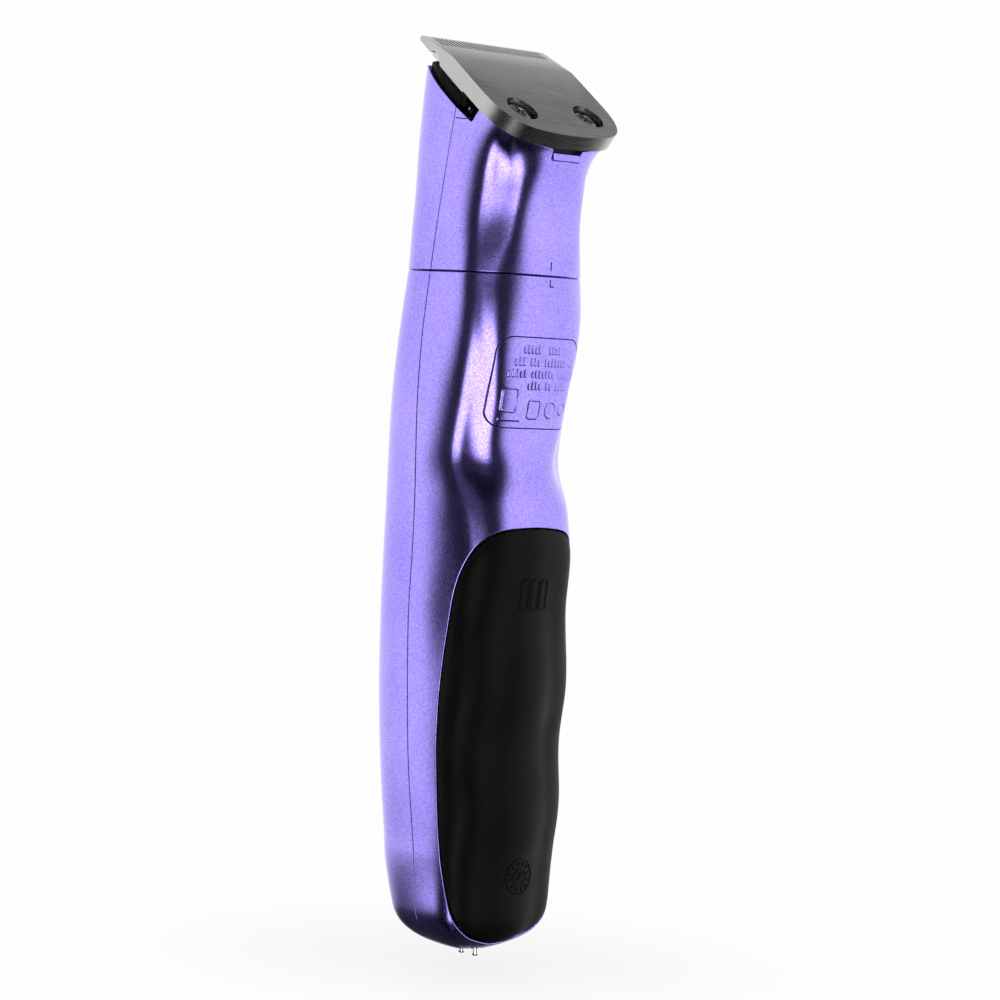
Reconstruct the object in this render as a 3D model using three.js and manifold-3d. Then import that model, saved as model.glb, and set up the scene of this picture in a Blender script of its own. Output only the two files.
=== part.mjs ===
// Cordless pet clipper: handle with motor and cell, and a removable cutting head.
// Millimetres. +Z runs up the handle to the blade, +Y is the back (grip and blade face),
// -Y the front (thumb slide), X is the width. The origin is midway between the lower ends
// of the two charging pins.
import * as THREE from 'three';
import { mergeVertices } from 'three/addons/utils/BufferGeometryUtils.js';
import Module from 'manifold-3d';

const wasm = await Module();
wasm.setup();

// ---------------------------------------------------------------- driving dimensions
const SEAM_Z = 122.75;        // joint between handle and head
const SEAM_GAP = 0.3;
const FOOT_Z = 1.25;          // lowest point of the foot
const WALL = 2.6;             // handle wall, grip included
const HEAD_WALL = 1.8;
const GRIP_T = 1.2;           // grip skin
const GAP = 0.3;              // between pieces that touch
const MOTOR_Y = -3.2;         // motor and lever axis
const MOTOR_R = 7.6;
const CRANK_E = 0.8;          // throw of the crank pin
const CRANK_R = 0.6;
const PIVOT_Z = 140.5;        // lever pivot
const BLADE_TILT = 52.3 * Math.PI / 180;   // blade face from the vertical
const BLADE_Y = -0.81;        // bevel line of the blade
const BLADE_Z = 160.44;
const BLADE_HALF = 15.0;
const BLADE_T = 2.95;
const TOOTH_PITCH = 1.0;
const SCREW_X = 8.35;
const SCREW_S = 14.2;
const PIN_Y = 1.75;
const PIN_R = 0.62;

// ---------------------------------------------------------------- body sections
// z, value. a: half width; yp: parting line; yf, yb: front and back faces;
// w: half width of the back ridge; hd: how strongly the flank beside the ridge is hollowed.
const TAB = {
  a: [[20,14.35],[30,14.8],[45,15.15],[60,15.3],[80,15.3],[100,15.0],[112,14.5],[122,14.1],[130,13.85],[140,13.8],[146,13.95],[150,14.1],[160,14.3],[170,14.4]],
  yp: [[20,-0.26],[30,-1.69],[45,-3.12],[60,-3.98],[80,-3.91],[90,-4.37],[100,-5.01],[112,-5.25],[122,-4.57],[130,-3.8],[140,-2.3],[150,-0.4],[160,1.0],[170,3.0]],
  yf: [[20,-14.2],[30,-15.41],[45,-16.82],[60,-17.45],[70,-17.62],[80,-17.6],[90,-17.66],[100,-17.55],[106,-17.22],[112,-16.64],[117,-16.12],[122,-15.48],[126,-15.35],[130,-15.41],[135,-15.19],[140,-15.13],[145,-15.05],[150,-14.2],[156,-13.5],[160,-12.9],[170,-11.5]],
  yb: [[20,10.15],[25,11.08],[30,11.18],[34,10.53],[39,10.05],[44,10.6],[48,11.27],[53,11.18],[58,10.54],[64,10.07],[69,10.6],[73,10.84],[78,10.39],[81,9.96],[84,9.64],[87,8.96],[90,8.32],[94,8.66],[100,9.83],[106,10.44],[112,11.04],[118,11.41],[122,11.19],[126,11.3],[130,11.43],[133,11.54],[137,12.27],[140,12.85],[142,13.48],[144.5,14.04],[146.5,14.7],[149,17],[152,21],[156,26],[160,30],[170,34]],
  w: [[20,6.9],[30,7],[45,6.6],[60,6.3],[70,6.4],[80,7],[90,7.8],[100,9],[106,9.3],[112,9.1],[122,8.1],[130,8.1],[137,8.4],[140,8.9],[143,10],[144.5,10.7],[146.5,12],[149,13.2],[152,13.8],[170,14]],
  hd: [[20,0],[76,0],[82,0.1],[87,0.75],[93,1],[100,0.95],[108,0.65],[116,0.35],[122,0.3],[125,0.35],[130,0.8],[136,1],[143,0.8],[149,0.3],[153,0.1],[170,0.1]],
};
// scale of the section below z = 20, front and back
const FOOT_F = [[1.25,0],[1.32,0.13],[1.5,0.235],[1.8,0.325],[2.2,0.41],[2.7,0.5],[3.3,0.585],[4,0.66],[5,0.742],[6.5,0.82],[8,0.862],[10,0.893],[12.5,0.924],[15,0.95],[17.5,0.976],[20,1]];
const FOOT_B = [[1.25,0],[1.32,0.14],[1.5,0.26],[1.8,0.355],[2.2,0.445],[2.7,0.54],[3.3,0.635],[4,0.725],[5,0.82],[6.5,0.91],[8,0.955],[10,0.972],[12.5,0.972],[15,0.97],[17.5,0.98],[20,1]];

function curve(t) {
  const n = t.length, m = [];
  for (let i = 0; i < n; i++) {
    if (i === 0) m.push((t[1][1] - t[0][1]) / (t[1][0] - t[0][0]));
    else if (i === n - 1) m.push((t[n-1][1] - t[n-2][1]) / (t[n-1][0] - t[n-2][0]));
    else {
      const h0 = t[i][0] - t[i-1][0], h1 = t[i+1][0] - t[i][0];
      const d0 = (t[i][1] - t[i-1][1]) / h0, d1 = (t[i+1][1] - t[i][1]) / h1;
      m.push((d0 * h1 + d1 * h0) / (h0 + h1));
    }
  }
  return (z) => {
    z = Math.min(Math.max(z, t[0][0]), t[n-1][0]);
    let i = 0;
    while (i < n - 2 && z >= t[i+1][0]) i++;
    const h = t[i+1][0] - t[i][0], s = (z - t[i][0]) / h;
    return (2*s**3 - 3*s**2 + 1) * t[i][1] + (s**3 - 2*s**2 + s) * h * m[i]
      + (-2*s**3 + 3*s**2) * t[i+1][1] + (s**3 - s**2) * h * m[i+1];
  };
}
const F = Object.fromEntries(Object.entries(TAB).map(([k, v]) => [k, curve(v)]));
const KF = curve(FOOT_F), KB = curve(FOOT_B);

// inset = { a, f, b, w }: how much smaller each measure of the section is
const NONE = { a: 0, f: 0, b: 0, w: 0 };
function control(z, inset) {
  const zz = Math.max(z, 20);
  const a = F.a(zz) - inset.a, yp = F.yp(zz), yf = F.yf(zz) + inset.f, yb = F.yb(zz) - inset.b;
  const w = F.w(zz) - inset.w, hd = F.hd(zz);
  const D = yp - yf, B = yb - yp;
  const P = [[0, yf], [0.40*a, yf], [0.80*a, yf + 0.10*D], [1.005*a, yf + 0.55*D], [1.012*a, yp], [0.995*a, yp + 0.30*B]];
  const px = [0.965*a, 0.90*a, 0.5*(0.90*a + w) + 0.3], py = [yp + 0.55*B, yp + 0.76*B, yp + 0.90*B];
  const hx = [0.955*a, 0.86*a, w + 0.9], hy = [yp + 0.57*B, yp + 0.615*B, yp + 0.70*B];
  for (let i = 0; i < 3; i++) P.push([px[i] + (hx[i] - px[i]) * hd, py[i] + (hy[i] - py[i]) * hd]);
  P.push([w + 0.35*hd, yb - 0.55 + 0.15*hd], [0.52*w, yb + 0.05], [0, yb + 0.1]);
  return P;
}
// t runs 0..11 from the middle of the front to the middle of the back
function sectionPoint(z, t, inset) {
  const C = control(z, inset);
  const i = Math.min(Math.floor(t), 10), u = t - i;
  const g = (j) => {
    const s = (j < 0 || j > 11) ? -1 : 1, k = j < 0 ? -j : (j > 11 ? 22 - j : j);
    return [C[k][0] * s, C[k][1]];
  };
  const b = [(1-u)**3/6, (3*u**3 - 6*u**2 + 4)/6, (-3*u**3 + 3*u**2 + 3*u + 1)/6, u**3/6];
  let x = 0, y = 0;
  for (let k = 0; k < 4; k++) { const q = g(i - 1 + k); x += b[k] * q[0]; y += b[k] * q[1]; }
  if (z < 20) {
    let s = Math.min(Math.max((y + 6) / 12, 0), 1); s = s * s * (3 - 2 * s);
    const f = KF(z), k = f + (KB(z) - f) * s;
    x *= k; y *= k;
  }
  return [x, y];
}
const T_LIST = [0.6,1.2,1.7,2.2,2.7,3.3,4,4.8,5.5,6.1,6.6,7.1,7.6,8.1,8.6,9.1,9.7,10.3];
function ring(z, inset = NONE, tl = T_LIST) {
  const r = [[0, sectionPoint(z, 0, inset)[1]]];
  for (const t of tl) r.push(sectionPoint(z, t, inset));
  r.push([0, sectionPoint(z, 11, inset)[1]]);
  for (let i = tl.length - 1; i >= 0; i--) { const q = sectionPoint(z, tl[i], inset); r.push([-q[0], q[1]]); }
  return r.map(([x, y]) => [x, y, z]);
}

// ---------------------------------------------------------------- solids
function solid(geometry, tolerance = 1e-4) {
  const g = geometry.clone();
  g.deleteAttribute('normal'); g.deleteAttribute('uv');
  const m = mergeVertices(g, tolerance);
  const idx = m.index.array, tri = [];
  for (let i = 0; i < idx.length; i += 3) {
    if (idx[i] !== idx[i+1] && idx[i+1] !== idx[i+2] && idx[i] !== idx[i+2]) tri.push(idx[i], idx[i+1], idx[i+2]);
  }
  return new wasm.Manifold(new wasm.Mesh({
    numProp: 3, vertProperties: new Float32Array(m.attributes.position.array), triVerts: new Uint32Array(tri),
  }));
}
function geometryOf(man) {
  const m = man.getMesh();
  const pos = new Float32Array(m.numVert * 3);
  for (let i = 0; i < m.numVert; i++) for (let k = 0; k < 3; k++) pos[3*i + k] = m.vertProperties[i * m.numProp + k];
  const g = new THREE.BufferGeometry();
  g.setAttribute('position', new THREE.BufferAttribute(pos, 3));
  g.setIndex(new THREE.BufferAttribute(new Uint32Array(m.triVerts), 1));
  g.computeVertexNormals();
  return g;
}
function loft(rings) {
  const n = rings[0].length, pos = [], tri = [];
  for (const r of rings) for (const p of r) pos.push(...p);
  for (let k = 0; k < rings.length - 1; k++) {
    for (let i = 0; i < n; i++) {
      const j = (i + 1) % n, a = k*n + i, b = k*n + j, c = (k+1)*n + i, d = (k+1)*n + j;
      tri.push(a, b, d, a, d, c);
    }
  }
  for (const [k, flip] of [[0, true], [rings.length - 1, false]]) {
    const c = [0, 0, 0];
    for (const p of rings[k]) for (let q = 0; q < 3; q++) c[q] += p[q] / n;
    const ci = pos.length / 3; pos.push(...c);
    for (let i = 0; i < n; i++) {
      const j = (i + 1) % n;
      if (flip) tri.push(ci, k*n + j, k*n + i); else tri.push(ci, k*n + i, k*n + j);
    }
  }
  const g = new THREE.BufferGeometry();
  g.setAttribute('position', new THREE.Float32BufferAttribute(pos, 3));
  g.setIndex(tri);
  return solid(g);
}
const loftZ = (zs, inset) => loft(zs.map((z) => ring(z, inset)));
function box(x0, x1, y0, y1, z0, z1) {
  const g = new THREE.BoxGeometry(x1 - x0, y1 - y0, z1 - z0);
  g.translate((x0 + x1) / 2, (y0 + y1) / 2, (z0 + z1) / 2);
  return solid(g);
}
// a right prism along X with its outline given in (y, z)
function prismX(yz, x0, x1) {
  const s = new THREE.Shape(yz.map(([y, z]) => new THREE.Vector2(y, z)));
  const g = new THREE.ExtrudeGeometry(s, { depth: x1 - x0, bevelEnabled: false, steps: 1, curveSegments: 1 });
  const m = new THREE.Matrix4().set(0,0,1,x0, 1,0,0,0, 0,1,0,0, 0,0,0,1);
  g.applyMatrix4(m);
  return solid(g);
}
// a right prism along Z with its outline given in (x, y)
function prismZ(xy, z0, z1, holes = []) {
  const s = new THREE.Shape(xy.map(([x, y]) => new THREE.Vector2(x, y)));
  for (const h of holes) s.holes.push(new THREE.Path(h.map(([x, y]) => new THREE.Vector2(x, y))));
  const g = new THREE.ExtrudeGeometry(s, { depth: z1 - z0, bevelEnabled: false, steps: 1, curveSegments: 1 });
  g.translate(0, 0, z0);
  return solid(g);
}
function cylZ(r, x, y, z0, z1, n = 24, r2 = r) {
  const g = new THREE.CylinderGeometry(r2, r, z1 - z0, n, 1);
  g.rotateX(Math.PI / 2); g.translate(x, y, (z0 + z1) / 2);
  return solid(g);
}
function cylY(r, x, z, y0, y1, n = 16) {
  const g = new THREE.CylinderGeometry(r, r, y1 - y0, n, 1);
  g.translate(x, (y0 + y1) / 2, z);
  return solid(g);
}
const ellipse = (cx, cy, rx, ry, n = 40) =>
  Array.from({ length: n }, (_, i) => [cx + rx * Math.cos(2*Math.PI*i/n), cy + ry * Math.sin(2*Math.PI*i/n)]);

// blade frame: x across, s down the blade's face towards the back, h out of the face
const BLADE_M = new THREE.Matrix4().makeBasis(
  new THREE.Vector3(1, 0, 0),
  new THREE.Vector3(0, Math.sin(BLADE_TILT), -Math.cos(BLADE_TILT)),
  new THREE.Vector3(0, Math.cos(BLADE_TILT), Math.sin(BLADE_TILT)),
).setPosition(0, BLADE_Y, BLADE_Z);
const yzOfBlade = (s, h) => [
  BLADE_Y + s * Math.sin(BLADE_TILT) + h * Math.cos(BLADE_TILT),
  BLADE_Z - s * Math.cos(BLADE_TILT) + h * Math.sin(BLADE_TILT),
];
function bladePrism(xs, h0, h1) {            // outline in (x, s)
  const s = new THREE.Shape(xs.map(([x, q]) => new THREE.Vector2(x, q)));
  const g = new THREE.ExtrudeGeometry(s, { depth: h1 - h0, bevelEnabled: false, steps: 1, curveSegments: 1 });
  g.translate(0, 0, h0);
  g.applyMatrix4(BLADE_M);
  return solid(g);
}
const bladeBox = (x0, x1, s0, s1, h0, h1) => bladePrism([[x0, s0], [x1, s0], [x1, s1], [x0, s1]], h0, h1);
const circle = (x, s, r, n = 20) => ellipse(x, s, r, r, n);
const bladeCyl = (x, s, r, h0, h1, n = 20) => bladePrism(circle(x, s, r, n), h0, h1);
const bladeProfile = (sh, x0, x1) => prismX(sh.map(([s, h]) => yzOfBlade(s, h)), x0, x1);

// the largest body of a cut, without the crumbs a cut can leave
function biggest(man) {
  return man.decompose().reduce((a, b) => (b.volume() > a.volume() ? b : a));
}
function tidy(man) {
  let m = biggest(man);
  for (let i = 0; i < 5; i++) {
    const g = geometryOf(m).toNonIndexed();
    const parts = solid(g, 1e-3).decompose();
    if (parts.length === 1 && i > 0) break;
    m = parts.reduce((a, b) => (b.volume() > a.volume() ? b : a));
  }
  return m;
}

const root = new THREE.Group();
function add(name, man, color, roughness, metalness) {
  const mesh = new THREE.Mesh(geometryOf(tidy(man)), new THREE.MeshStandardMaterial({ color, roughness, metalness }));
  mesh.name = name;
  root.add(mesh);
  return mesh;
}
const PURPLE = [0x8f7fd6, 0.34, 0.55], BLACK = [0x141414, 0.75, 0.0], RUBBER = [0x121212, 0.85, 0.0];
const STEEL = [0x8b8c8e, 0.38, 0.9], BRIGHT = [0xc9cbce, 0.2, 0.95], BRASS = [0xb58b3c, 0.35, 0.9];
const GREEN = [0x1f5a35, 0.6, 0.0], COPPER = [0xb06a3a, 0.4, 0.8], WHITE = [0xdcdcd6, 0.6, 0.0];

// ---------------------------------------------------------------- handle casing
const footZ = [1.32, 1.6, 2.2, 3.3, 5, 8, 12.5, 20];
const handleZ = [...footZ, 27, 33, 39, 46, 53, 61, 69, 76, 81, 85, 89, 93, 98, 105, 113, SEAM_Z - SEAM_GAP / 2];
const handleOuter = loftZ(handleZ, NONE);
const CAV = { a: WALL, f: 1.8, b: 2.8, w: 2.2 };
// the cavity stays a floor's thickness above the foot
function cavityRing(z, inset) {
  if (z >= 20) return ring(z, inset);
  return ring(20, inset).map(([x, y]) => {
    const k = (z - 3.4) / (20 - 3.4), s = Math.min(1, 0.62 + 0.38 * Math.sin(Math.PI / 2 * k));
    return [x * s, y * s, z];
  });
}
const handleCavity = loft([3.4, 6.5, 12, 20, 33, 46, 61, 76, 83, 88, 93, 100, 109, 117, 121, 124].map((z) => cavityRing(z, CAV)));
let handleShell = handleOuter.subtract(handleCavity);

// parting surface between the front and the back casing
const partPts = [];
for (const z of [-5, 1, 5, 10, 15, 20, 30, 45, 60, 80, 90, 100, 112, 122, 130, 140, 150, 160, 170]) {
  const k = z < 20 ? Math.max(0, KF(z)) : 1;
  partPts.push([F.yp(Math.max(z, 20)) * k, z]);
}
const half = GAP / 2;
const behind = prismX([...partPts.map(([y, z]) => [y + half, z]), [60, 170], [60, -5]], -40, 40);
const before = prismX([...partPts.map(([y, z]) => [y - half, z]), [-60, 170], [-60, -5]], -40, 40);

// grip: everything behind this line, seen from the side
const gripLine = [[5.2,-5],[5.4,2],[6.2,3.2],[7,4.5],[7.3,6],[7.2,8],[6.6,11],[5.6,17],[4.8,24],[4.1,33],[3.6,40],[3.7,47],[4.3,55.8],[5.2,64.2],[5.8,67.2],[6.7,70.2],[7.6,72.4],[8.5,74.6],[9.1,76],[9.6,77.2],[10.2,78.2]];
const shift = (line, d) => line.map(([y, z], i) => {
  const p = line[Math.max(i - 1, 0)], q = line[Math.min(i + 1, line.length - 1)];
  const dy = q[0] - p[0], dz = q[1] - p[1], L = Math.hypot(dy, dz);
  return [y + d * dz / L, z - d * dy / L];
});
const gripPrism = (d) => {
  const l = shift(gripLine, d);
  return prismX([...l, [40, l[l.length - 1][1]], [40, -5]], -40, 40);
};
const skin = (t) => loftZ([...footZ, 27, 33, 39, 46, 53, 61, 69, 76, 81], { a: t, f: t, b: t, w: t * 0.8 });
// near the foot the skin's inner face is a scaled section, lifted by the skin's thickness
function skinCore(t) {
  const inset = { a: t, f: t, b: t, w: t * 0.8 };
  return loft([1.32, 1.6, 2.2, 3.3, 5, 8, 12.5, 20, 27, 33, 39, 46, 53, 61, 69, 76, 81].map((z) => {
    if (z >= 20) return ring(z, inset);
    const lift = t * (1 - (z - 1.32) / (20 - 1.32));
    return ring(z, inset).map(([x, y]) => [x, y, z + lift]);
  }));
}
const grip = handleOuter.intersect(gripPrism(0.15)).subtract(skinCore(GRIP_T));
const gripPocket = handleOuter.add(box(-40, 40, -40, 40, -5, 1.4)).intersect(gripPrism(-0.15)).subtract(skinCore(GRIP_T + GAP));

// openings in the casing
const pinHole = prismZ(ellipse(0, 0, 2.2, 3.5, 20), -1, 8);
const SW_Z = 97, SW_TRAVEL = 4;
const switchSlot = box(-2.3, 2.3, -25, -12, SW_Z - 4.2, SW_Z + 4.2 + SW_TRAVEL);
const LED_Z = 76;
const lensHole = cylY(1.75, 0, LED_Z, -25, -12, 16);
let frontShell = handleShell.intersect(before).subtract(pinHole).subtract(switchSlot).subtract(lensHole);
let backShell = handleShell.intersect(behind).subtract(gripPocket).subtract(pinHole);
add('handle_front_shell', frontShell, ...PURPLE);
add('handle_back_shell', backShell, ...PURPLE);
add('rubber_grip', grip, ...RUBBER);

// ---------------------------------------------------------------- foot: charging pins
add('pin_block', prismZ(ellipse(0, 0, 1.9, 3.2, 20), 1.75, 5.2)
  .add(prismZ(ellipse(0, 0, 3.6, 4.4, 24), 4.6, 7.0))
  .subtract(cylZ(PIN_R + GAP, 0, PIN_Y, 0, 9, 14)).subtract(cylZ(PIN_R + GAP, 0, -PIN_Y, 0, 9, 14)), ...BLACK);
const chargePin = (y) => cylZ(PIN_R * 0.7, 0, y, 0, 0.3, 14, PIN_R).add(cylZ(PIN_R, 0, y, 0.3, 8.4, 14));
add('charging_pin_front', chargePin(-PIN_Y), ...BRIGHT);
add('charging_pin_rear', chargePin(PIN_Y), ...BRIGHT);
const strapRise = [[-9.2, 8.7], [-11.4, 19.5], [-11.4, 55], [-11.0, 55], [-11.0, 19.6], [-8.9, 9.1]];
add('charging_strap_front', prismX([[-0.7, 8.7], ...strapRise, [-0.7, 9.1]], -0.8, 0.8), ...BRASS);
add('charging_strap_rear', box(-0.7, 4.6, 1.0, 2.6, 8.7, 9.1).add(prismX([[2.6, 8.7], ...strapRise, [2.6, 9.1]], 3.2, 4.6)), ...BRASS);

// ---------------------------------------------------------------- cell, frame, board
const CELL_Y = -2.9, CELL_R = 7.1, CELL_Z0 = 24, CELL_Z1 = 72.5;
add('battery_cell', cylZ(CELL_R, 0, CELL_Y, CELL_Z0, CELL_Z1, 28).add(cylZ(2.6, 0, CELL_Y, CELL_Z1, CELL_Z1 + 1.2, 16)), 0x3c6fae, 0.45, 0.1);
add('battery_contact_lower', box(-3, 3, CELL_Y - 3, CELL_Y + 3, 23.2, 23.7).add(box(-1.2, 1.2, -11.0, CELL_Y - 2, 23.2, 23.7)), ...BRIGHT);
add('battery_contact_upper', box(-3, 3, CELL_Y - 3, CELL_Y + 3, 74.0, 74.5).add(box(-1.2, 1.2, -11.0, CELL_Y - 2, 74.0, 74.5)), ...BRIGHT);
const frame = box(-9, 9, 4.55, 5.7, 20, 77)
  .add(box(-7.6, 7.6, -9.6, 5.7, 20.6, 22.6))
  .add(box(-7.6, 7.6, -9.6, 5.7, 75.2, 76.8))
  .add(box(-8.6, 8.6, 3.4, 4.7, 76, 82)).add(box(-8.6, 8.6, -8.5, 4.7, 80.4, 82))
  .subtract(cylZ(3.2, 0, MOTOR_Y, 70, 90, 20))
  .subtract(box(-4, 4, 3, 8, 34, 62));
add('chassis', frame, ...WHITE);
const BOARD_Y0 = -12.7, BOARD_Y1 = -11.7;
add('circuit_board', box(-6.5, 6.5, BOARD_Y0, BOARD_Y1, 56, 108), ...GREEN);
add('charge_led', box(-1.2, 1.2, -14.2, BOARD_Y0 - GAP, LED_Z - 1.2, LED_Z + 1.2), ...WHITE);
const lensFace = (() => {   // lens fills the hole and stops flush with the casing
  const body = cylY(1.45, 0, LED_Z, -20, -14.5, 16);
  return body.intersect(loftZ([70, 76, 82], { a: 0, f: -0.05, b: 0, w: 0 }));
})();
add('charge_light_lens', lensFace, 0xd8e8d8, 0.15, 0.0);
const clip = (x) => box(x - 1.1, x + 1.1, -13.25, -13.0, 88, 106).add(box(x - 1.1, x + 1.1, -13.25, -13.0, 104, 106));
add('switch_contact_left', clip(4.6), ...BRASS);
add('switch_contact_right', clip(-4.6), ...BRASS);

// ---------------------------------------------------------------- thumb slide
const swOuter = (d) => loftZ([84, 88, 92, 96, 100, 104, 108], { a: -d, f: -d, b: 0, w: 0 });
const swPad = prismX([[-40, SW_Z - 8.2], [0, SW_Z - 8.2], [0, SW_Z + 8.2], [-40, SW_Z + 8.2]], -5.6, 5.6);
// oval pad cut from the casing's own shape, standing 2 mm proud
const padOutline = (() => {
  const pts = [];
  for (let i = 0; i < 28; i++) { const t = 2 * Math.PI * i / 28; const c = Math.cos(t), s = Math.sin(t);
    pts.push([5.6 * Math.sign(c) * Math.abs(c) ** 0.75, SW_Z + 8.2 * Math.sign(s) * Math.abs(s) ** 0.75]); }
  const sh = new THREE.Shape(pts.map(([x, z]) => new THREE.Vector2(x, z)));
  const g = new THREE.ExtrudeGeometry(sh, { depth: 30, bevelEnabled: false, steps: 1, curveSegments: 1 });
  g.rotateX(Math.PI / 2);      // the outline now lies in X and Z, and the prism runs along Y
  return solid(g);
})();
const padMax = box(-6, 6, -40, -5, SW_Z - 9, SW_Z + 9);
let pad = padOutline.intersect(swOuter(1.9)).intersect(padMax).subtract(swOuter(0.32));
// ribs across the pad
for (let i = -2; i <= 2; i++) pad = pad.subtract(box(-7, 7, -40, F.yf(SW_Z) - 1.35, SW_Z + i * 2.6 - 0.45, SW_Z + i * 2.6 + 0.45));
const stem = box(-1.7, 1.7, F.yf(SW_Z) - 1.0, -14.75, SW_Z - 3.6, SW_Z + 3.6);
add('switch_button', pad.add(stem), ...BLACK);
add('switch_slider', box(-5.2, 5.2, -14.45, -13.6, SW_Z - 5, SW_Z + 5), ...WHITE);

// ---------------------------------------------------------------- motor
const MZ0 = 86.5, MZ1 = 112;
const axisHole = (r, z0, z1) => cylZ(r, 0, MOTOR_Y, z0, z1, 20);
add('motor_can', axisHole(MOTOR_R, MZ0, MZ1).subtract(axisHole(MOTOR_R - 0.8, MZ0 - 1, MZ1 - 1.2)).subtract(axisHole(1.8, MZ1 - 3, MZ1 + 2)), ...BRIGHT);
add('motor_end_cap', axisHole(MOTOR_R - 1.1, MZ0 - 2.4, MZ0 + 1.2).subtract(axisHole(1.4, MZ0 - 3, MZ0 + 2)), ...BLACK);
const magnet = (sgn) => axisHole(MOTOR_R - 1.1, MZ0 + 3.5, MZ1 - 5).subtract(axisHole(MOTOR_R - 2.3, MZ0 + 3, MZ1 - 4))
  .intersect(box(sgn > 0 ? 2.2 : -9, sgn > 0 ? 9 : -2.2, MOTOR_Y - 9, MOTOR_Y + 9, MZ0, MZ1));
add('motor_magnet_left', magnet(1), 0x3a3a3c, 0.6, 0.3);
add('motor_magnet_right', magnet(-1), 0x3a3a3c, 0.6, 0.3);
add('motor_shaft', axisHole(1.0, MZ0 - 1.8, 120.5), ...BRIGHT);
let arm = axisHole(MOTOR_R - 2.7, MZ0 + 4.5, MZ1 - 6);
for (let i = 0; i < 3; i++) {
  const g = new THREE.BoxGeometry(3, 1.4, 30);
  g.translate(MOTOR_R - 2.7, 0, (MZ0 + MZ1) / 2); g.rotateZ(Math.PI / 2 + i * 2 * Math.PI / 3); g.translate(0, MOTOR_Y, 0);
  arm = arm.subtract(solid(g));
}
add('armature', arm.subtract(axisHole(1.3, MZ0, MZ1)), ...COPPER);
// bracket that hangs the motor from the collar
add('motor_bracket', prismZ(ellipse(0, MOTOR_Y, 8.6, 7.4, 28), 112.4, 114.2)
  .subtract(axisHole(2.4, 111, 116)).subtract(cylZ(1.3, 5.2, MOTOR_Y, 111, 116, 12)).subtract(cylZ(1.3, -5.2, MOTOR_Y, 111, 116, 12)), ...BRIGHT);
const motorScrew = (x) => cylZ(1.7, x, MOTOR_Y, 114.5, 115.5, 14).add(cylZ(0.95, x, MOTOR_Y, 112.35, 114.6, 12)).subtract(box(x - 2, x + 2, MOTOR_Y - 0.25, MOTOR_Y + 0.25, 115.1, 116));
add('motor_screw_left', motorScrew(5.2), ...STEEL);
add('motor_screw_right', motorScrew(-5.2), ...STEEL);

// ---------------------------------------------------------------- neck
const DECK = { a: WALL + 0.3, f: 2.1, b: 3.1, w: 2.5 };
const NECK_TOP = 130.0;
const neck = loftZ([117.0, 122.0], DECK)
  .add(prismZ(ellipse(0, MOTOR_Y, 9.0, 8.2, 36), 121.5, NECK_TOP))
  .subtract(prismZ(ellipse(0, MOTOR_Y, 7.6, 6.8, 36), 118.4, NECK_TOP + 2))
  .subtract(axisHole(2.0, 110, 120));
add('neck_collar', neck, ...BLACK);
add('neck_seal', prismZ(ellipse(0, MOTOR_Y, 10.05, 9.25, 36), 122.25, 122.9, [ellipse(0, MOTOR_Y, 9.3, 8.5, 36)]), ...RUBBER);
add('eccentric_cam', axisHole(3.9, 120.9, 125.0), ...WHITE);
add('crank_pin', cylZ(CRANK_R, 0, MOTOR_Y + CRANK_E, 125.3, 130.6, 12), ...BRIGHT);

// ---------------------------------------------------------------- head casing
const headZ = [SEAM_Z + SEAM_GAP / 2, 126, 130, 134, 138, 141, 143.2, 145, 146.8, 149, 152, 156, 160, 164];
const headOuter = loftZ(headZ, NONE);
const HCAV = { a: HEAD_WALL, f: HEAD_WALL, b: HEAD_WALL + 0.2, w: HEAD_WALL * 0.8 };
const headCavity = loftZ([120, 124, 130, 136, 141, 144, 146.8, 149, 152, 156, 160, 166], HCAV);
const RIM_H = -6.15, RIM_TOP = 159.5, SEAT_H = -BLADE_T - 0.3;
const planeZ = (y, h) => BLADE_Z + (h - (y - BLADE_Y) * Math.cos(BLADE_TILT)) / Math.sin(BLADE_TILT);
const planeY = (z, h) => BLADE_Y + (h - (z - BLADE_Z) * Math.sin(BLADE_TILT)) / Math.cos(BLADE_TILT);
const rimCut = prismX([[-40, RIM_TOP], [planeY(RIM_TOP, RIM_H), RIM_TOP], yzOfBlade(9.5, RIM_H), yzOfBlade(10.8, SEAT_H), yzOfBlade(40, SEAT_H), [80, 200], [-40, 200]], -40, 40);
const headShell = headOuter.subtract(headCavity).subtract(rimCut);
// catch for a guide comb under the blade's back edge
const comb = box(-3.55, 3.55, 12.6, 20, 144.2, 145.6);
add('head_front_shell', headShell.intersect(before), ...PURPLE);
add('head_back_shell', headShell.intersect(behind).subtract(comb), ...PURPLE);

// socket ring that drops over the neck
const HSOCK = { a: HEAD_WALL + 0.3, f: HEAD_WALL + 0.3, b: HEAD_WALL + 0.5, w: HEAD_WALL * 0.8 + 0.24 };
add('head_socket', loftZ([123.3, 126, 129.5], HSOCK).subtract(prismZ(ellipse(0, MOTOR_Y, 9.4, 8.6, 36), 122, 131)), ...BLACK);

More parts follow.
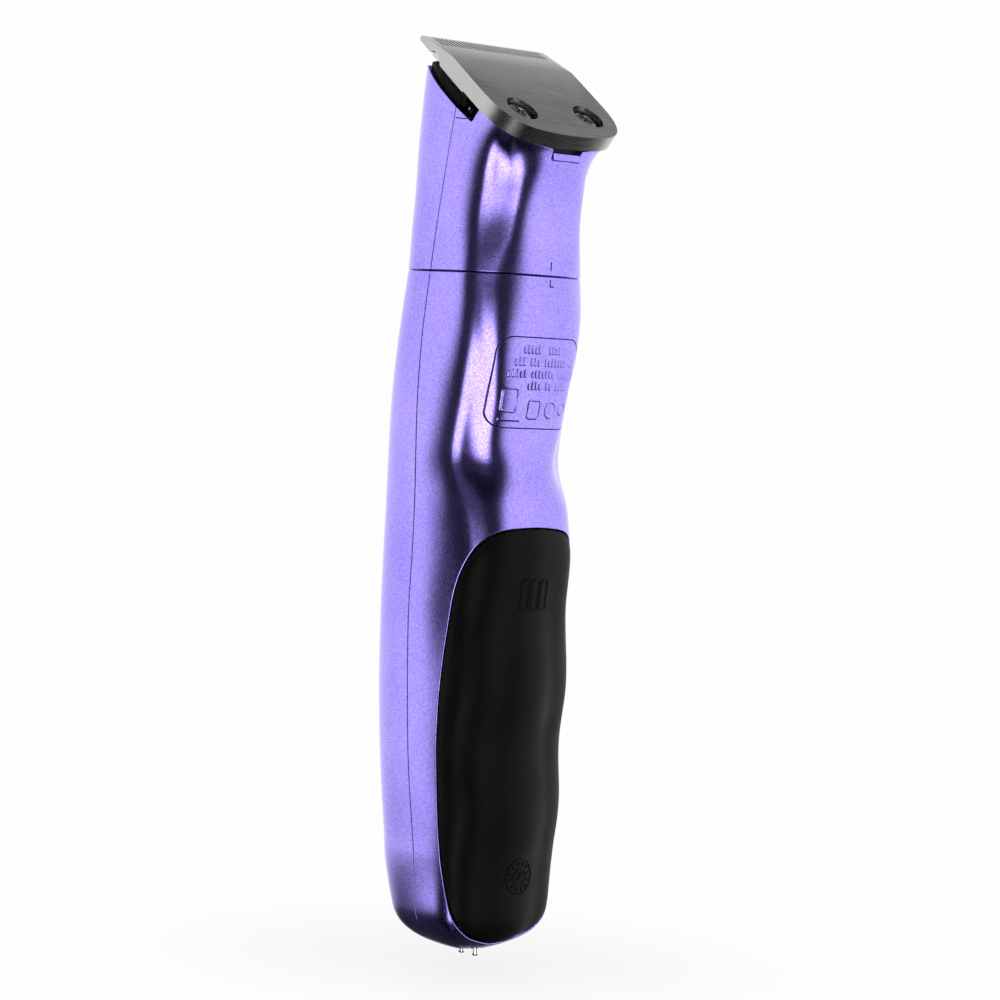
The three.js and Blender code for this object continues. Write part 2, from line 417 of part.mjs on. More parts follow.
// ---------------------------------------------------------------- blade carrier
const INSERT = { a: 0.35, f: 0.35, b: 0.35, w: 0.3 };
const PLUG = { a: HEAD_WALL + 0.3, f: HEAD_WALL + 0.3, b: HEAD_WALL + 0.5, w: HEAD_WALL * 0.8 + 0.24 };
const CARRIER_TOP = -BLADE_T - 0.55;
const upper = loftZ([140, 144, 146.8, 149, 152, 156, 160, 164], INSERT).intersect(prismX([
  [-40, RIM_TOP + 0.3], [-40, 160.05], [planeY(160.05, -4.24), 160.05], yzOfBlade(-2.3, CARRIER_TOP),
  yzOfBlade(6.2, CARRIER_TOP), yzOfBlade(6.3, -4.9), yzOfBlade(9.0, -4.9), yzOfBlade(9.0, RIM_H + 0.25),
  [planeY(RIM_TOP + 0.3, RIM_H + 0.25), RIM_TOP + 0.3]], -13.45, 13.45));
const plugLoft = loftZ([130, 138, 141, 144, 146.8, 149, 152, 156, 160, 164], PLUG);
const PLATE_D = 8.4;          // depth of the carrier's web
const plug = plugLoft.intersect(prismX([
  [-40, RIM_TOP + 0.4], [-40, 156], [planeY(156, -PLATE_D), 156], yzOfBlade(9.0, -PLATE_D), yzOfBlade(24, -PLATE_D), yzOfBlade(24, CARRIER_TOP),
  yzOfBlade(10.4, CARRIER_TOP), yzOfBlade(9.0, -4.9), yzOfBlade(8.9, RIM_H + 0.3), [planeY(RIM_TOP + 0.4, RIM_H + 0.3), RIM_TOP + 0.4]], -13, 13));
let carrier = upper.add(plug);
const PIVOT_Y0 = -8.9, PIVOT_Y1 = 3.3;
carrier = carrier.add(box(-3.2, 3.2, PIVOT_Y0, -5.6, PIVOT_Z - 3, 156).add(box(-3.2, 3.2, -0.8, 2.6, PIVOT_Z - 3, 151)).intersect(plugLoft));
carrier = carrier
  .subtract(bladeBox(-13.1, 13.1, -12, 6.9, -4.95, 0))                     // channel of the cutter
  .subtract(bladeBox(-7.4, 7.4, -4.2, 5.6, -6.4, -4))                      // pocket of the spring
  .subtract(bladeBox(-13.7, 13.7, 6.9, 8.1, -6.1, -4))                     // outlets of the spring's ends
  .subtract(bladeBox(-8.7, 8.7, 4.5, 8.1, -6.4, -4))
  .subtract(box(-5.6, 5.6, -6.2, -0.9, 141, 170)).subtract(box(-5.6, 5.6, -5.3, -1.1, 130, 170))                          // way through for the lever and guide
  .subtract(bladeBox(-5.5, 5.5, -2.9, 2.9, -7.5, -4))
  .subtract(bladeCyl(SCREW_X, SCREW_S, 1.75, -8, -2)).subtract(bladeCyl(-SCREW_X, SCREW_S, 1.75, -8, -2))
  .subtract(cylY(1.25, 0, PIVOT_Z, -20, 20, 14));
add('blade_carrier', carrier, ...BLACK);

// ---------------------------------------------------------------- lever
const forkHalf = 2 * CRANK_E + CRANK_R + 0.4;     // slot clears the crank pin at every angle
let lever = box(-2.0, 2.0, MOTOR_Y - 1.5, MOTOR_Y + 1.5, 133.4, 151.5)
  .add(box(-forkHalf - 1.7, forkHalf + 1.7, MOTOR_Y - 1.5, MOTOR_Y + 1.5, 126.2, 134.4))
  .add(cylY(3.0, 0, PIVOT_Z, MOTOR_Y - 1.5, MOTOR_Y + 1.5, 18))
  .add(box(-1.3, 1.3, MOTOR_Y - 1.2, MOTOR_Y + 0.4, 151, 155.5))
  .subtract(box(-forkHalf, forkHalf, -20, 20, 120, 131.6))
  .subtract(cylY(1.3, 0, PIVOT_Z, -20, 20, 16));
add('drive_lever', lever, ...WHITE);
add('lever_pivot_pin', cylY(0.95, 0, PIVOT_Z, PIVOT_Y0 + 0.6, 2.0, 14), ...BRIGHT);

// ---------------------------------------------------------------- blades
const outline = [[-15,-9.5],[15,-9.5],[15,12.9],[14.75,14.6],[14.1,16.1],[13.1,17.4],[11.9,18.5],[10.4,19.4],[8.4,20.15],[5.6,20.75],[2.8,21.1],[0,21.2],
  [-2.8,21.1],[-5.6,20.75],[-8.4,20.15],[-10.4,19.4],[-11.9,18.5],[-13.1,17.4],[-14.1,16.1],[-14.75,14.6],[-15,12.9]];
const fixedProfile = [[22,0],[0,0],[-8.2,-1.62],[-8.9,-2.15],[-8.5,-2.8],[-5.2,-2.8],[-4.6,-2.3],[-3.6,-2.05],[-2.5,-2.2],[-1.6,-3.0],[-1.3,-3.2],[6.2,-3.2],[6.3,-BLADE_T],[22,-BLADE_T]];
let fixed = bladeProfile(fixedProfile, -BLADE_HALF, BLADE_HALF).intersect(bladePrism(outline, -10, 5));
const TEETH = 27;
for (let i = 0; i < TEETH; i++) {
  const x = (i - (TEETH - 1) / 2) * TOOTH_PITCH;
  fixed = fixed.subtract(bladePrism([[x - 0.3, -12], [x + 0.3, -12], [x + 0.2, -4.6], [x - 0.2, -4.6]], -6, 2));
}
for (const x of [SCREW_X, -SCREW_X]) {
  fixed = fixed.subtract(bladeCyl(x, SCREW_S, 3.15, -1.9, 2, 28)).subtract(bladeCyl(x, SCREW_S, 1.75, -5, 0, 16));
}
add('fixed_blade', fixed, ...STEEL);
let cutter = bladeBox(-12, 12, -7.3, 6.1, -4.6, -3.5);
for (let i = 0; i <= 16; i++) {
  const x = (i - 8) * 1.45;
  cutter = cutter.subtract(bladePrism([[x - 0.4, -10], [x + 0.4, -10], [x + 0.25, -4.9], [x - 0.25, -4.9]], -6, 0));
}
add('cutter_blade', cutter, ...STEEL);
// guide: a block under the cutter with a slot for the lever's tip
const guide = bladeBox(-4.1, 4.1, -2.6, 2.6, -7.0, -4.9).subtract(box(-1.6, 1.6, -7, 3, 130, 170));
const guideBridge = bladeBox(-4.1, 4.1, -2.6, -1.7, -7.0, -4.9).add(bladeBox(-4.1, 4.1, 1.9, 2.6, -7.0, -4.9));
add('cutter_guide', guide.add(guideBridge.subtract(box(-1.6, 1.6, MOTOR_Y - 1.7, MOTOR_Y + 0.9, 130, 170))), ...WHITE);

// spring: one wire, a cross bar in front of the guide, two arms and two outward ends
const wirePts = [[12.9,7.5],[8.0,7.5],[6.9,6.6],[6.6,5],[6.6,-2.4],[6.0,-3.4],[4.8,-3.7],[-4.8,-3.7],[-6.0,-3.4],[-6.6,-2.4],[-6.6,5],[-6.9,6.6],[-8.0,7.5],[-12.9,7.5]];
{
  const r = 0.34, sides = 8, rings = [];
  for (let i = 0; i < wirePts.length; i++) {
    const p = wirePts[Math.max(i - 1, 0)], c = wirePts[i], q = wirePts[Math.min(i + 1, wirePts.length - 1)];
    const unit = (a, b) => { const L = Math.hypot(b[0] - a[0], b[1] - a[1]) || 1; return [(b[0] - a[0]) / L, (b[1] - a[1]) / L]; };
    const d0 = i ? unit(p, c) : unit(c, q), d1 = i < wirePts.length - 1 ? unit(c, q) : d0;
    let t = [d0[0] + d1[0], d0[1] + d1[1]]; const L = Math.hypot(...t); t = [t[0] / L, t[1] / L];
    const mitre = 1 / Math.max(0.5, t[0] * d1[0] + t[1] * d1[1]);
    const ring = [];
    for (let k = 0; k < sides; k++) {
      const f = 2 * Math.PI * k / sides, side = r * Math.cos(f) * mitre, up = r * Math.sin(f);
      const [y, z] = yzOfBlade(c[1] + t[0] * side, -5.55 + up);
      ring.push([c[0] - t[1] * side, y, z]);
    }
    rings.push(ring);
  }
  let wire = loft(rings);
  if (wire.volume() < 0) wire = loft(rings.map((q) => q.slice().reverse()));
  add('tension_spring', wire, ...BRIGHT);
}

// cross-head screws in the blade's counterbores
const bladeScrew = (x) => {
  let s = bladeCyl(x, SCREW_S, 2.8, -1.6, -0.75, 24).add(bladeCyl(x, SCREW_S, 1.4, -7.6, -1.2, 16));
  s = s.subtract(bladeBox(x - 1.5, x + 1.5, SCREW_S - 0.32, SCREW_S + 0.32, -1.35, 0));
  s = s.subtract(bladeBox(x - 0.32, x + 0.32, SCREW_S - 1.5, SCREW_S + 1.5, -1.35, 0));
  return s;
};
add('blade_screw_left', bladeScrew(SCREW_X), ...STEEL);
add('blade_screw_right', bladeScrew(-SCREW_X), ...STEEL);

export default root;
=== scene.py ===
"""Cordless pet clipper: the looks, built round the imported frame. Metres, +Z up the handle, +Y the back."""

import math

import bpy
import bmesh
import numpy as np
from mathutils import Matrix, Vector


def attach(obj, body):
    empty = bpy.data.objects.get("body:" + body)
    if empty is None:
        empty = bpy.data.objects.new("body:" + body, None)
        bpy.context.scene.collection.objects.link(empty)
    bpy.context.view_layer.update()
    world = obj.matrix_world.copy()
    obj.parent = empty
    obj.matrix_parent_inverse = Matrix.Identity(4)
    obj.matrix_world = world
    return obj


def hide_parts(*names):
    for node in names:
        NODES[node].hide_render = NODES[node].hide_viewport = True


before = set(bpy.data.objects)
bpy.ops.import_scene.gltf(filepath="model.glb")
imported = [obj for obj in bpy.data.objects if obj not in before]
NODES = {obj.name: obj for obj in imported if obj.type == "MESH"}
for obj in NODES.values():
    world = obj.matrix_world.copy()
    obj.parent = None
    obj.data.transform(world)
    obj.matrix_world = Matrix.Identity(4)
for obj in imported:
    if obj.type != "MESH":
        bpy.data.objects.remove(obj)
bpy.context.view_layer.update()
MM = 0.001
scene = bpy.context.scene

# ------------------------------------------------------------------ camera
BETA, EPS, RHO = math.radians(45.2609), math.radians(2.3218), math.radians(3.1011)
FOCAL = 3455.0
cam_b = Vector((math.sin(BETA) * math.cos(EPS), math.cos(BETA) * math.cos(EPS), math.sin(EPS)))
cam_r0 = Vector((-math.cos(BETA), math.sin(BETA), 0))
cam_u0 = Vector((-math.sin(BETA) * math.sin(EPS), -math.cos(BETA) * math.sin(EPS), math.cos(EPS)))
cam_r = cam_r0 * math.cos(RHO) + cam_u0 * math.sin(RHO)
cam_u = -cam_r0 * math.sin(RHO) + cam_u0 * math.cos(RHO)
cam_data = bpy.data.cameras.new("camera")
cam_data.sensor_width = 36.0
cam_data.lens = FOCAL * 36.0 / 1000.0
cam_data.clip_start = 0.01
cam_data.clip_end = 50
camera = bpy.data.objects.new("camera", cam_data)
scene.collection.objects.link(camera)
m = Matrix((cam_r, cam_u, cam_b)).transposed().to_4x4()
m.translation = Vector((440.350, 438.173, 107.578)) * MM
camera.matrix_world = m
scene.camera = camera

# ------------------------------------------------------------------ body sections (mm)
TAB = {
    "a": [(20, 14.35), (30, 14.8), (45, 15.15), (60, 15.3), (80, 15.3), (100, 15.0), (112, 14.5), (122, 14.1), (130, 13.85), (140, 13.8), (146, 13.95), (150, 14.1), (160, 14.3), (170, 14.4)],
    "yp": [(20, -0.26), (30, -1.69), (45, -3.12), (60, -3.98), (80, -3.91), (90, -4.37), (100, -5.01), (112, -5.25), (122, -4.57), (130, -3.80), (140, -2.30), (150, -0.40), (160, 1.0), (170, 3.0)],
    "yf": [(20, -14.20), (30, -15.41), (45, -16.82), (60, -17.45), (70, -17.62), (80, -17.60), (90, -17.66), (100, -17.55), (106, -17.22), (112, -16.64), (117, -16.12), (122, -15.48), (126, -15.35), (130, -15.41), (135, -15.19), (140, -15.13), (145, -15.15), (150, -14.75), (156, -14.2), (160, -13.7), (170, -12.6)],
    "yb": [(20, 10.15), (25, 11.08), (30, 11.18), (34, 10.53), (39, 10.05), (44, 10.60), (48, 11.27), (53, 11.18), (58, 10.54), (64, 10.07), (69, 10.60), (73, 10.84), (78, 10.39), (81, 9.96), (84, 9.64), (87, 8.96), (90, 8.32), (94, 8.66), (100, 9.83), (106, 10.44), (112, 11.04), (118, 11.41), (122, 11.19), (126, 11.30), (130, 11.43), (133, 11.54), (137, 12.27), (140, 12.85), (142, 13.48), (144.5, 14.04), (146.5, 14.7), (149, 17.0), (152, 21.0), (156, 26.0), (160, 30.0), (170, 34.0)],
    "w": [(20, 6.9), (30, 7.0), (45, 6.6), (60, 6.3), (70, 6.4), (80, 7.0), (90, 7.8), (100, 9.0), (106, 9.3), (112, 9.1), (122, 8.1), (130, 8.1), (137, 8.4), (140, 8.9), (143, 10.0), (144.5, 10.7), (146.5, 12.0), (149, 13.2), (152, 13.8), (170, 14.0)],
    "hd": [(20, 0), (76, 0), (82, 0.2), (85, 0.6), (88, 0.95), (92, 1.0), (100, 1.0), (108, 0.85), (116, 0.6), (122, 0.55), (125, 0.6), (130, 0.85), (136, 1.0), (144, 1.0), (148, 0.7), (152, 0.3), (156, 0.1), (170, 0.1)],
    "cr": [(20, 1.2), (60, 1.25), (70, 1.3), (80, 1.35), (86, 0.8), (92, 0.35), (100, 0.25), (170, 0.15)],
    "f6": [(20, 0.66), (76, 0.63), (82, 0.61), (88, 0.59), (92, 0.595), (95, 0.60), (102, 0.615), (108, 0.63), (114, 0.635), (122, 0.61), (131, 0.58), (137, 0.575), (144, 0.56), (150, 0.56), (170, 0.56)],
    "x6": [(20, 0.957), (80, 0.935), (88, 0.885), (92, 0.895), (95, 0.905), (102, 0.915), (108, 0.935), (114, 0.95), (122, 0.955), (130, 0.945), (137, 0.938), (144, 0.94), (150, 0.95), (170, 0.957)],
    "d9": [(20, 0.6), (80, 0.7), (88, 1.2), (92, 1.0), (95, 0.95), (102, 1.15), (108, 0.85), (114, 0.65), (122, 0.78), (130, 0.95), (137, 1.35), (141, 2.0), (144, 2.9), (147, 3.1), (150, 1.5), (156, 0.7), (170, 0.6)],
    "ch": [(20, 0.2), (50, 0.35), (66, 0.8), (74, 1.0), (82, 1.0), (87, 0.7), (93, 0.0), (170, 0.0)],
}
FOOT_F = [(1.25, 0.0), (1.32, 0.13), (1.5, 0.235), (1.8, 0.325), (2.2, 0.41), (2.7, 0.50), (3.3, 0.585), (4, 0.66), (5, 0.742), (6.5, 0.82), (8, 0.864), (10, 0.897), (12.5, 0.932), (15, 0.963), (17.5, 0.9885), (19, 0.9982), (20, 1.0), (22.4, 1.0)]
FOOT_B = [(1.25, 0.0), (1.32, 0.14), (1.5, 0.26), (1.8, 0.355), (2.2, 0.445), (2.7, 0.54), (3.3, 0.635), (4, 0.725), (5, 0.82), (6.5, 0.91), (8, 0.955), (10, 0.974), (12.5, 0.978), (15, 0.983), (17.5, 0.992), (19, 0.9985), (20, 1.0), (22.4, 1.0)]


def hermite(tab, q):
    t = np.array(tab, float)
    x, y = t[:, 0], t[:, 1]
    n = len(x)
    s = np.zeros(n)
    s[0] = (y[1] - y[0]) / (x[1] - x[0])
    s[-1] = (y[-1] - y[-2]) / (x[-1] - x[-2])
    h = np.diff(x)
    d = np.diff(y) / h
    s[1:-1] = (d[:-1] * h[1:] + d[1:] * h[:-1]) / (h[:-1] + h[1:])
    q = np.clip(q, x[0], x[-1])
    i = np.clip(np.searchsorted(x, q, side="right") - 1, 0, n - 2)
    u = (q - x[i]) / h[i]
    return (2 * u**3 - 3 * u**2 + 1) * y[i] + (u**3 - 2 * u**2 + u) * h[i] * s[i] + (-2 * u**3 + 3 * u**2) * y[i + 1] + (u**3 - u**2) * h[i] * s[i + 1]


def soften(v, sigma):
    k = int(4 * sigma) + 1
    g = np.exp(-0.5 * (np.arange(-k, k + 1) / sigma) ** 2)
    g /= g.sum()
    return np.convolve(np.pad(v, k, mode="edge"), g, mode="valid")


ZG = np.arange(0.0, 176.0, 0.2)
DENSE = {k: soften(hermite(v, np.maximum(ZG, 20)), 6.5) for k, v in TAB.items()}
QG = np.arange(0.0, 4.6, 0.01)
Q0 = math.sqrt(18.75)
FOOTS = {}
for key, tab in (("f", FOOT_F), ("b", FOOT_B)):
    v = hermite([(math.sqrt(z - 1.25), k) for z, k in tab], QG)
    w = soften(v, 9.0)
    f = np.clip(QG / 0.4, 0, 1) * np.clip((Q0 - QG) / 0.25, 0, 1)
    FOOTS[key] = v + (w - v) * f


def z_of(s):
    s = np.asarray(s, float)
    return np.where(s < 0, 1.25 + np.maximum(s + Q0, 0.0) ** 2, 20 + 2 * Q0 * s)


def s_of(z):
    return math.sqrt(max(z - 1.25, 0)) - Q0 if z < 20 else (z - 20) / (2 * Q0)


def surface(s, t, inset=0.0):
    """Point of the outer skin, mm. t runs -11..11 round the section from the middle of the front (0) to the middle of the back."""
    s, t = np.broadcast_arrays(np.asarray(s, float), np.asarray(t, float))
    shape = s.shape
    s, t = s.ravel(), t.ravel()
    z = z_of(s)
    tf = (t + 11) % 22 - 11
    sign = np.where(tf < 0, -1.0, 1.0)
    ta = np.abs(tf)
    g = lambda k: np.interp(z, ZG, DENSE[k])
    a, yp, yf, yb, w, hd, cr = g("a") - inset, g("yp"), g("yf") + inset, g("yb") - inset, g("w") - 0.8 * inset, g("hd"), g("cr")
    f6, ch, xf, d9 = g("f6"), g("ch"), g("x6"), g("d9")
    D, B = yp - yf, yb - yp
    px = [0.965 * a, 0.90 * a, 0.5 * (0.90 * a + w) + 0.3]
    py = [yp + 0.55 * B, yp + 0.76 * B, yp + 0.90 * B]
    px.append(w)
    py.append(yb - 0.55)
    # a rounder shoulder where the grip ends
    qx, qy = [0.90 * a, 0.80 * a, 0.605 * a, w - 0.9], [yp + 0.60 * B, yp + 0.835 * B, yb - 0.15, yb + 0.75]
    # a hollowed flat across the corner
    x6, y6, x9, y9 = xf * a, yp + f6 * B, w + 0.35 - 0.75 * np.minimum(d9 - 0.6, 1.4), yb - d9
    hx = [x6, x6 + (x9 - x6) / 3 - 0.27, x6 + (x9 - x6) / 1.5 - 0.27, x9]
    hy = [y6, y6 + (y9 - y6) / 3 - 0.27, y6 + (y9 - y6) / 1.5 - 0.27, y9]
    cx = [0 * a, 0.40 * a, 0.80 * a, 1.005 * a, 1.012 * a, (0.995 - 0.02 * ch - 0.3 * (0.957 - xf) * hd) * a]
    cy = [yf, yf, yf + 0.10 * D, yf + 0.55 * D, yp, yp + 0.30 * B]
    for i in range(4):
        x0, y0 = px[i] + (qx[i] - px[i]) * ch, py[i] + (qy[i] - py[i]) * ch
        cx.append(x0 + (hx[i] - x0) * hd)
        cy.append(y0 + (hy[i] - y0) * hd)
    cx += [0.52 * w, 0 * a]
    cy += [yb + 0.05 + 0.75 * cr - 0.22 * (d9 - 0.6), yb + 0.1 + 1.15 * cr]
    cx, cy = np.stack(cx), np.stack(cy)
    i = np.minimum(ta.astype(int), 10)
    u = ta - i
    basis = [(1 - u) ** 3 / 6, (3 * u**3 - 6 * u**2 + 4) / 6, (-3 * u**3 + 3 * u**2 + 3 * u + 1) / 6, u**3 / 6]
    n = np.arange(len(u))
    x = np.zeros_like(u)
    y = np.zeros_like(u)
    for k in range(4):
        j = i - 1 + k
        sg = np.where((j < 0) | (j > 11), -1.0, 1.0)
        j = np.where(j < 0, -j, np.where(j > 11, 22 - j, j))
        x += basis[k] * cx[j, n] * sg
        y += basis[k] * cy[j, n]
    foot = s < 0
    if foot.any():
        q = np.clip(s[foot] + Q0, 0, Q0)
        yy = y[foot]
        m = np.clip((yy + 6) / 12, 0, 1)
        m = m * m * (3 - 2 * m)
        kf, kb = np.interp(q, QG, FOOTS["f"]), np.interp(q, QG, FOOTS["b"])
        k = kf + (kb - kf) * m
        x[foot] *= k
        y[foot] *= k
    return np.stack([x * sign, y, z], -1).reshape(shape + (3,))


def unit(v):
    return v / np.maximum(np.linalg.norm(v, axis=-1, keepdims=True), 1e-12)


def skin_normal(s, t, es=0.03, et=0.03, f=surface):
    return unit(np.cross(f(s, t + et) - f(s, t - et), f(s + es, t) - f(s - es, t)))


class Skin:
    """The outer skin moved out by height(P), in mm, with its own normals."""

    def __init__(self, height=None, es=0.03, et=0.03):
        self.height, self.es, self.et = height, es, et

    def point(self, s, t):
        p = surface(s, t)
        if self.height is None:
            return p
        return p + skin_normal(s, t) * self.height(p, t)[..., None]

    def normal(self, s, t):
        return skin_normal(s, t, self.es, self.et, self.point)


def clip(S, T, F):
    """The part of a grid of quads where F < 0, as parameter points and faces, cut along F = 0."""
    m, n = S.shape
    inside = F < 0
    keep = -np.ones(m * n, int)
    sel = inside.ravel()
    keep[sel] = np.arange(sel.sum())
    pts = np.stack([S.ravel()[sel], T.ravel()[sel]], -1).tolist()
    idx = np.arange(m * n).reshape(m, n)
    q = np.stack([idx[:-1, :-1], idx[:-1, 1:], idx[1:, 1:], idx[1:, :-1]], -1).reshape(-1, 4)
    qi = sel[q]
    faces = keep[q[qi.all(1)]].tolist()
    cut = {}
    Sr, Tr, Fr = S.ravel(), T.ravel(), F.ravel()

    def crossing(a, b):
        key = (a, b) if a < b else (b, a)
        if key not in cut:
            u = Fr[a] / (Fr[a] - Fr[b])
            u = min(max(u, 0.02), 0.98)
            cut[key] = len(pts)
            pts.append([Sr[a] + (Sr[b] - Sr[a]) * u, Tr[a] + (Tr[b] - Tr[a]) * u])
        return cut[key]

    for quad in q[qi.any(1) & ~qi.all(1)]:
        poly = []
        for k in range(4):
            a, b = quad[k], quad[(k + 1) % 4]
            if sel[a]:
                poly.append(int(keep[a]))
            if sel[a] != sel[b]:
                poly.append(crossing(a, b))
        if len(poly) >= 3:
            faces.append(poly)
    return np.array(pts, float), faces


def rolled(P, Nn, faces, radius, depth, steps=3):
    """Rounds the open edges of a surface over and turns them in by depth, in mm; both may be functions of the edge points."""
    directed = {}
    for f in faces:
        for k in range(len(f)):
            directed[(f[k], f[(k + 1) % len(f)])] = True
    border = [(a, b) for (a, b) in directed if (b, a) not in directed]
    out = {}
    for a, b in border:
        d = P[b] - P[a]
        L = np.linalg.norm(d)
        if L < 1e-9:
            continue
        for v in (a, b):
            o = np.cross(d / L, Nn[v]) * min(L, 0.3)
            out[v] = out.get(v, 0) + o
    ids = sorted(out)
    pos = {v: i for i, v in enumerate(ids)}
    T = unit(np.array([out[v] for v in ids]))
    B, N0 = P[ids], Nn[ids]
    T = unit(T - N0 * (T * N0).sum(-1, keepdims=True))
    r = radius(B) if callable(radius) else np.full(len(ids), radius)
    dp = depth(B) if callable(depth) else np.full(len(ids), depth)
    r, dp = r[:, None], dp[:, None]
    rings, norms = [], []
    for k in range(1, steps + 1):
        f = math.pi / 2 * k / steps
        rings.append(B + T * r * math.sin(f) - N0 * r * (1 - math.cos(f)))
        norms.append(unit(N0 * math.cos(f) + T * math.sin(f)))
    rings.append(B + T * r - N0 * (r + dp))
    norms.append(T)
    base = len(P)
    n = len(ids)
    allP = np.vstack([P] + rings)
    allN = np.vstack([Nn] + norms)
    new = []
    at = lambda v, k: v if k == 0 else base + (k - 1) * n + pos[v]
    for a, b in border:
        if a not in pos or b not in pos:
            continue
        for k in range(steps + 1):
            new.append([at(b, k), at(a, k), at(a, k + 1), at(b, k + 1)])
    return allP, allN, faces + new


def mesh_object(name, P, faces, normals=None, smooth=True):
    me = bpy.data.meshes.new(name)
    me.from_pydata((np.asarray(P) * MM).tolist(), [], [list(map(int, f)) for f in faces])
    me.validate(clean_customdata=False)
    me.polygons.foreach_set("use_smooth", [smooth] * len(me.polygons))
    if normals is not None:
        me.normals_split_custom_set_from_vertices(np.asarray(normals, float).tolist())
    me.update()
    ob = bpy.data.objects.new(name, me)
    scene.collection.objects.link(ob)
    return ob


def patch(name, S, T, field, skin=None, radius=0.15, depth=1.0, steps=3):
    skin = skin or Skin()
    base = surface(S, T)
    pts, faces = clip(S, T, field(base, S, T))
    s, t = pts[:, 0], pts[:, 1]
    P, Nn = skin.point(s, t), skin.normal(s, t)
    P, Nn, faces = rolled(P, Nn, faces, radius, depth, steps)
    return mesh_object(name, P, faces, Nn)


def finish_piece(ob, body, slot, mat, *nodes):
    ob.data.materials.clear()
    ob.data.materials.append(mat)
    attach(ob, body)
    if nodes:
        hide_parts(*nodes)
    return ob


def sdf_box(x, z, cx, cz, hx, hz, r=0.0):
    qx, qz = np.abs(x - cx) - hx + r, np.abs(z - cz) - hz + r
    return np.hypot(np.maximum(qx, 0), np.maximum(qz, 0)) + np.minimum(np.maximum(qx, qz), 0) - r


def smooth01(v):
    v = np.clip(v, 0, 1)
    return v * v * (3 - 2 * v)


# ------------------------------------------------------------------ blade frame
TILT = math.radians(52.3)
EH = np.array([0, math.sin(TILT), -math.cos(TILT)])
NH = np.array([0, math.cos(TILT), math.sin(TILT)])
BP = np.array([0, -0.81, 160.44])


def blade_point(x, s, h):
    x, s, h = np.broadcast_arrays(np.asarray(x, float), np.asarray(s, float), np.asarray(h, float))
    return BP + x[..., None] * np.array([1.0, 0, 0]) + s[..., None] * EH + h[..., None] * NH


def yz(s, h):
    p = BP + s * EH + h * NH
    return float(p[1]), float(p[2])


# ------------------------------------------------------------------ materials
def nodes_of(name):
    mat = bpy.data.materials.new(name)
    mat.use_nodes = True
    nt = mat.node_tree
    nt.nodes.clear()
    out = nt.nodes.new("ShaderNodeOutputMaterial")
    sh = nt.nodes.new("ShaderNodeBsdfPrincipled")
    nt.links.new(sh.outputs[0], out.inputs[0])
    return mat, nt, sh


def node(nt, kind, **kw):
    n = nt.nodes.new(kind)
    for k, v in kw.items():
        setattr(n, k, v)
    return n


def coords(nt, scale=(1, 1, 1), rot=(0, 0, 0)):
    tc = node(nt, "ShaderNodeTexCoord")
    mp = node(nt, "ShaderNodeMapping")
    mp.inputs["Scale"].default_value = scale
    mp.inputs["Rotation"].default_value = rot
    nt.links.new(tc.outputs["Object"], mp.inputs["Vector"])
    return mp.outputs[0]


def noise(nt, vec, scale, detail=3.0, rough=0.55):
    n = node(nt, "ShaderNodeTexNoise")
    n.inputs["Scale"].default_value = scale
    n.inputs["Detail"].default_value = detail
    n.inputs["Roughness"].default_value = rough
    nt.links.new(vec, n.inputs["Vector"])
    return n.outputs["Fac"]


def ramp(nt, fac, stops):
    r = node(nt, "ShaderNodeValToRGB")
    el = r.color_ramp.elements
    while len(el) < len(stops):
        el.new(0.5)
    for e, (p, c) in zip(el, stops):
        e.position = p
        e.color = (c, c, c, 1) if isinstance(c, (int, float)) else (*c, 1)
    nt.links.new(fac, r.inputs[0])
    return r.outputs[0]


def remap(nt, fac, a, b, lo=0.3, hi=0.7):
    n = node(nt, "ShaderNodeMapRange")
    n.inputs["From Min"].default_value = lo
    n.inputs["From Max"].default_value = hi
    n.inputs["To Min"].default_value = a
    n.inputs["To Max"].default_value = b
    nt.links.new(fac, n.inputs["Value"])
    return n.outputs["Result"]


def bump(nt, height, distance, strength=1.0, normal=None):
    b = node(nt, "ShaderNodeBump")
    b.inputs["Strength"].default_value = strength
    b.inputs["Distance"].default_value = distance
    nt.links.new(height, b.inputs["Height"])
    if normal is not None:
        nt.links.new(normal, b.inputs["Normal"])
    return b.outputs["Normal"]


def put(sh, **kw):
    for k, v in kw.items():
        sh.inputs[k.replace("_", " ")].default_value = v


def lacquer(name="purple_lacquer", dark=(0.19, 0.13, 0.66), light=(0.46, 0.375, 0.96)):
    """Metallic flake lacquer: fine flakes that vary in brightness and tilt under a satin coat."""
    mat, nt, sh = nodes_of(name)
    v = coords(nt)
    vo = node(nt, "ShaderNodeTexVoronoi")
    vo.inputs["Scale"].default_value = 5200
    nt.links.new(v, vo.inputs["Vector"])
    sep = node(nt, "ShaderNodeSeparateColor")
    nt.links.new(vo.outputs["Color"], sep.inputs[0])
    cloud = noise(nt, v, 60, 2)
    mix = node(nt, "ShaderNodeMath", operation="MULTIPLY_ADD")
    nt.links.new(sep.outputs[0], mix.inputs[0])
    mix.inputs[1].default_value = 0.55
    nt.links.new(remap(nt, cloud, 0.12, 0.34), mix.inputs[2])
    nt.links.new(ramp(nt, mix.outputs[0], [(0.0, dark), (1.0, light)]), sh.inputs["Base Color"])
    orange = noise(nt, v, 900, 2, 0.5)
    b1 = bump(nt, sep.outputs[1], 0.000006, 0.55)
    nt.links.new(bump(nt, orange, 0.00001, 0.35, b1), sh.inputs["Normal"])
    nt.links.new(remap(nt, cloud, 0.175, 0.225), sh.inputs["Roughness"])
    put(sh, Metallic=1.0, Coat_Weight=0.25, Coat_Roughness=0.22, Coat_IOR=1.5)
    return mat


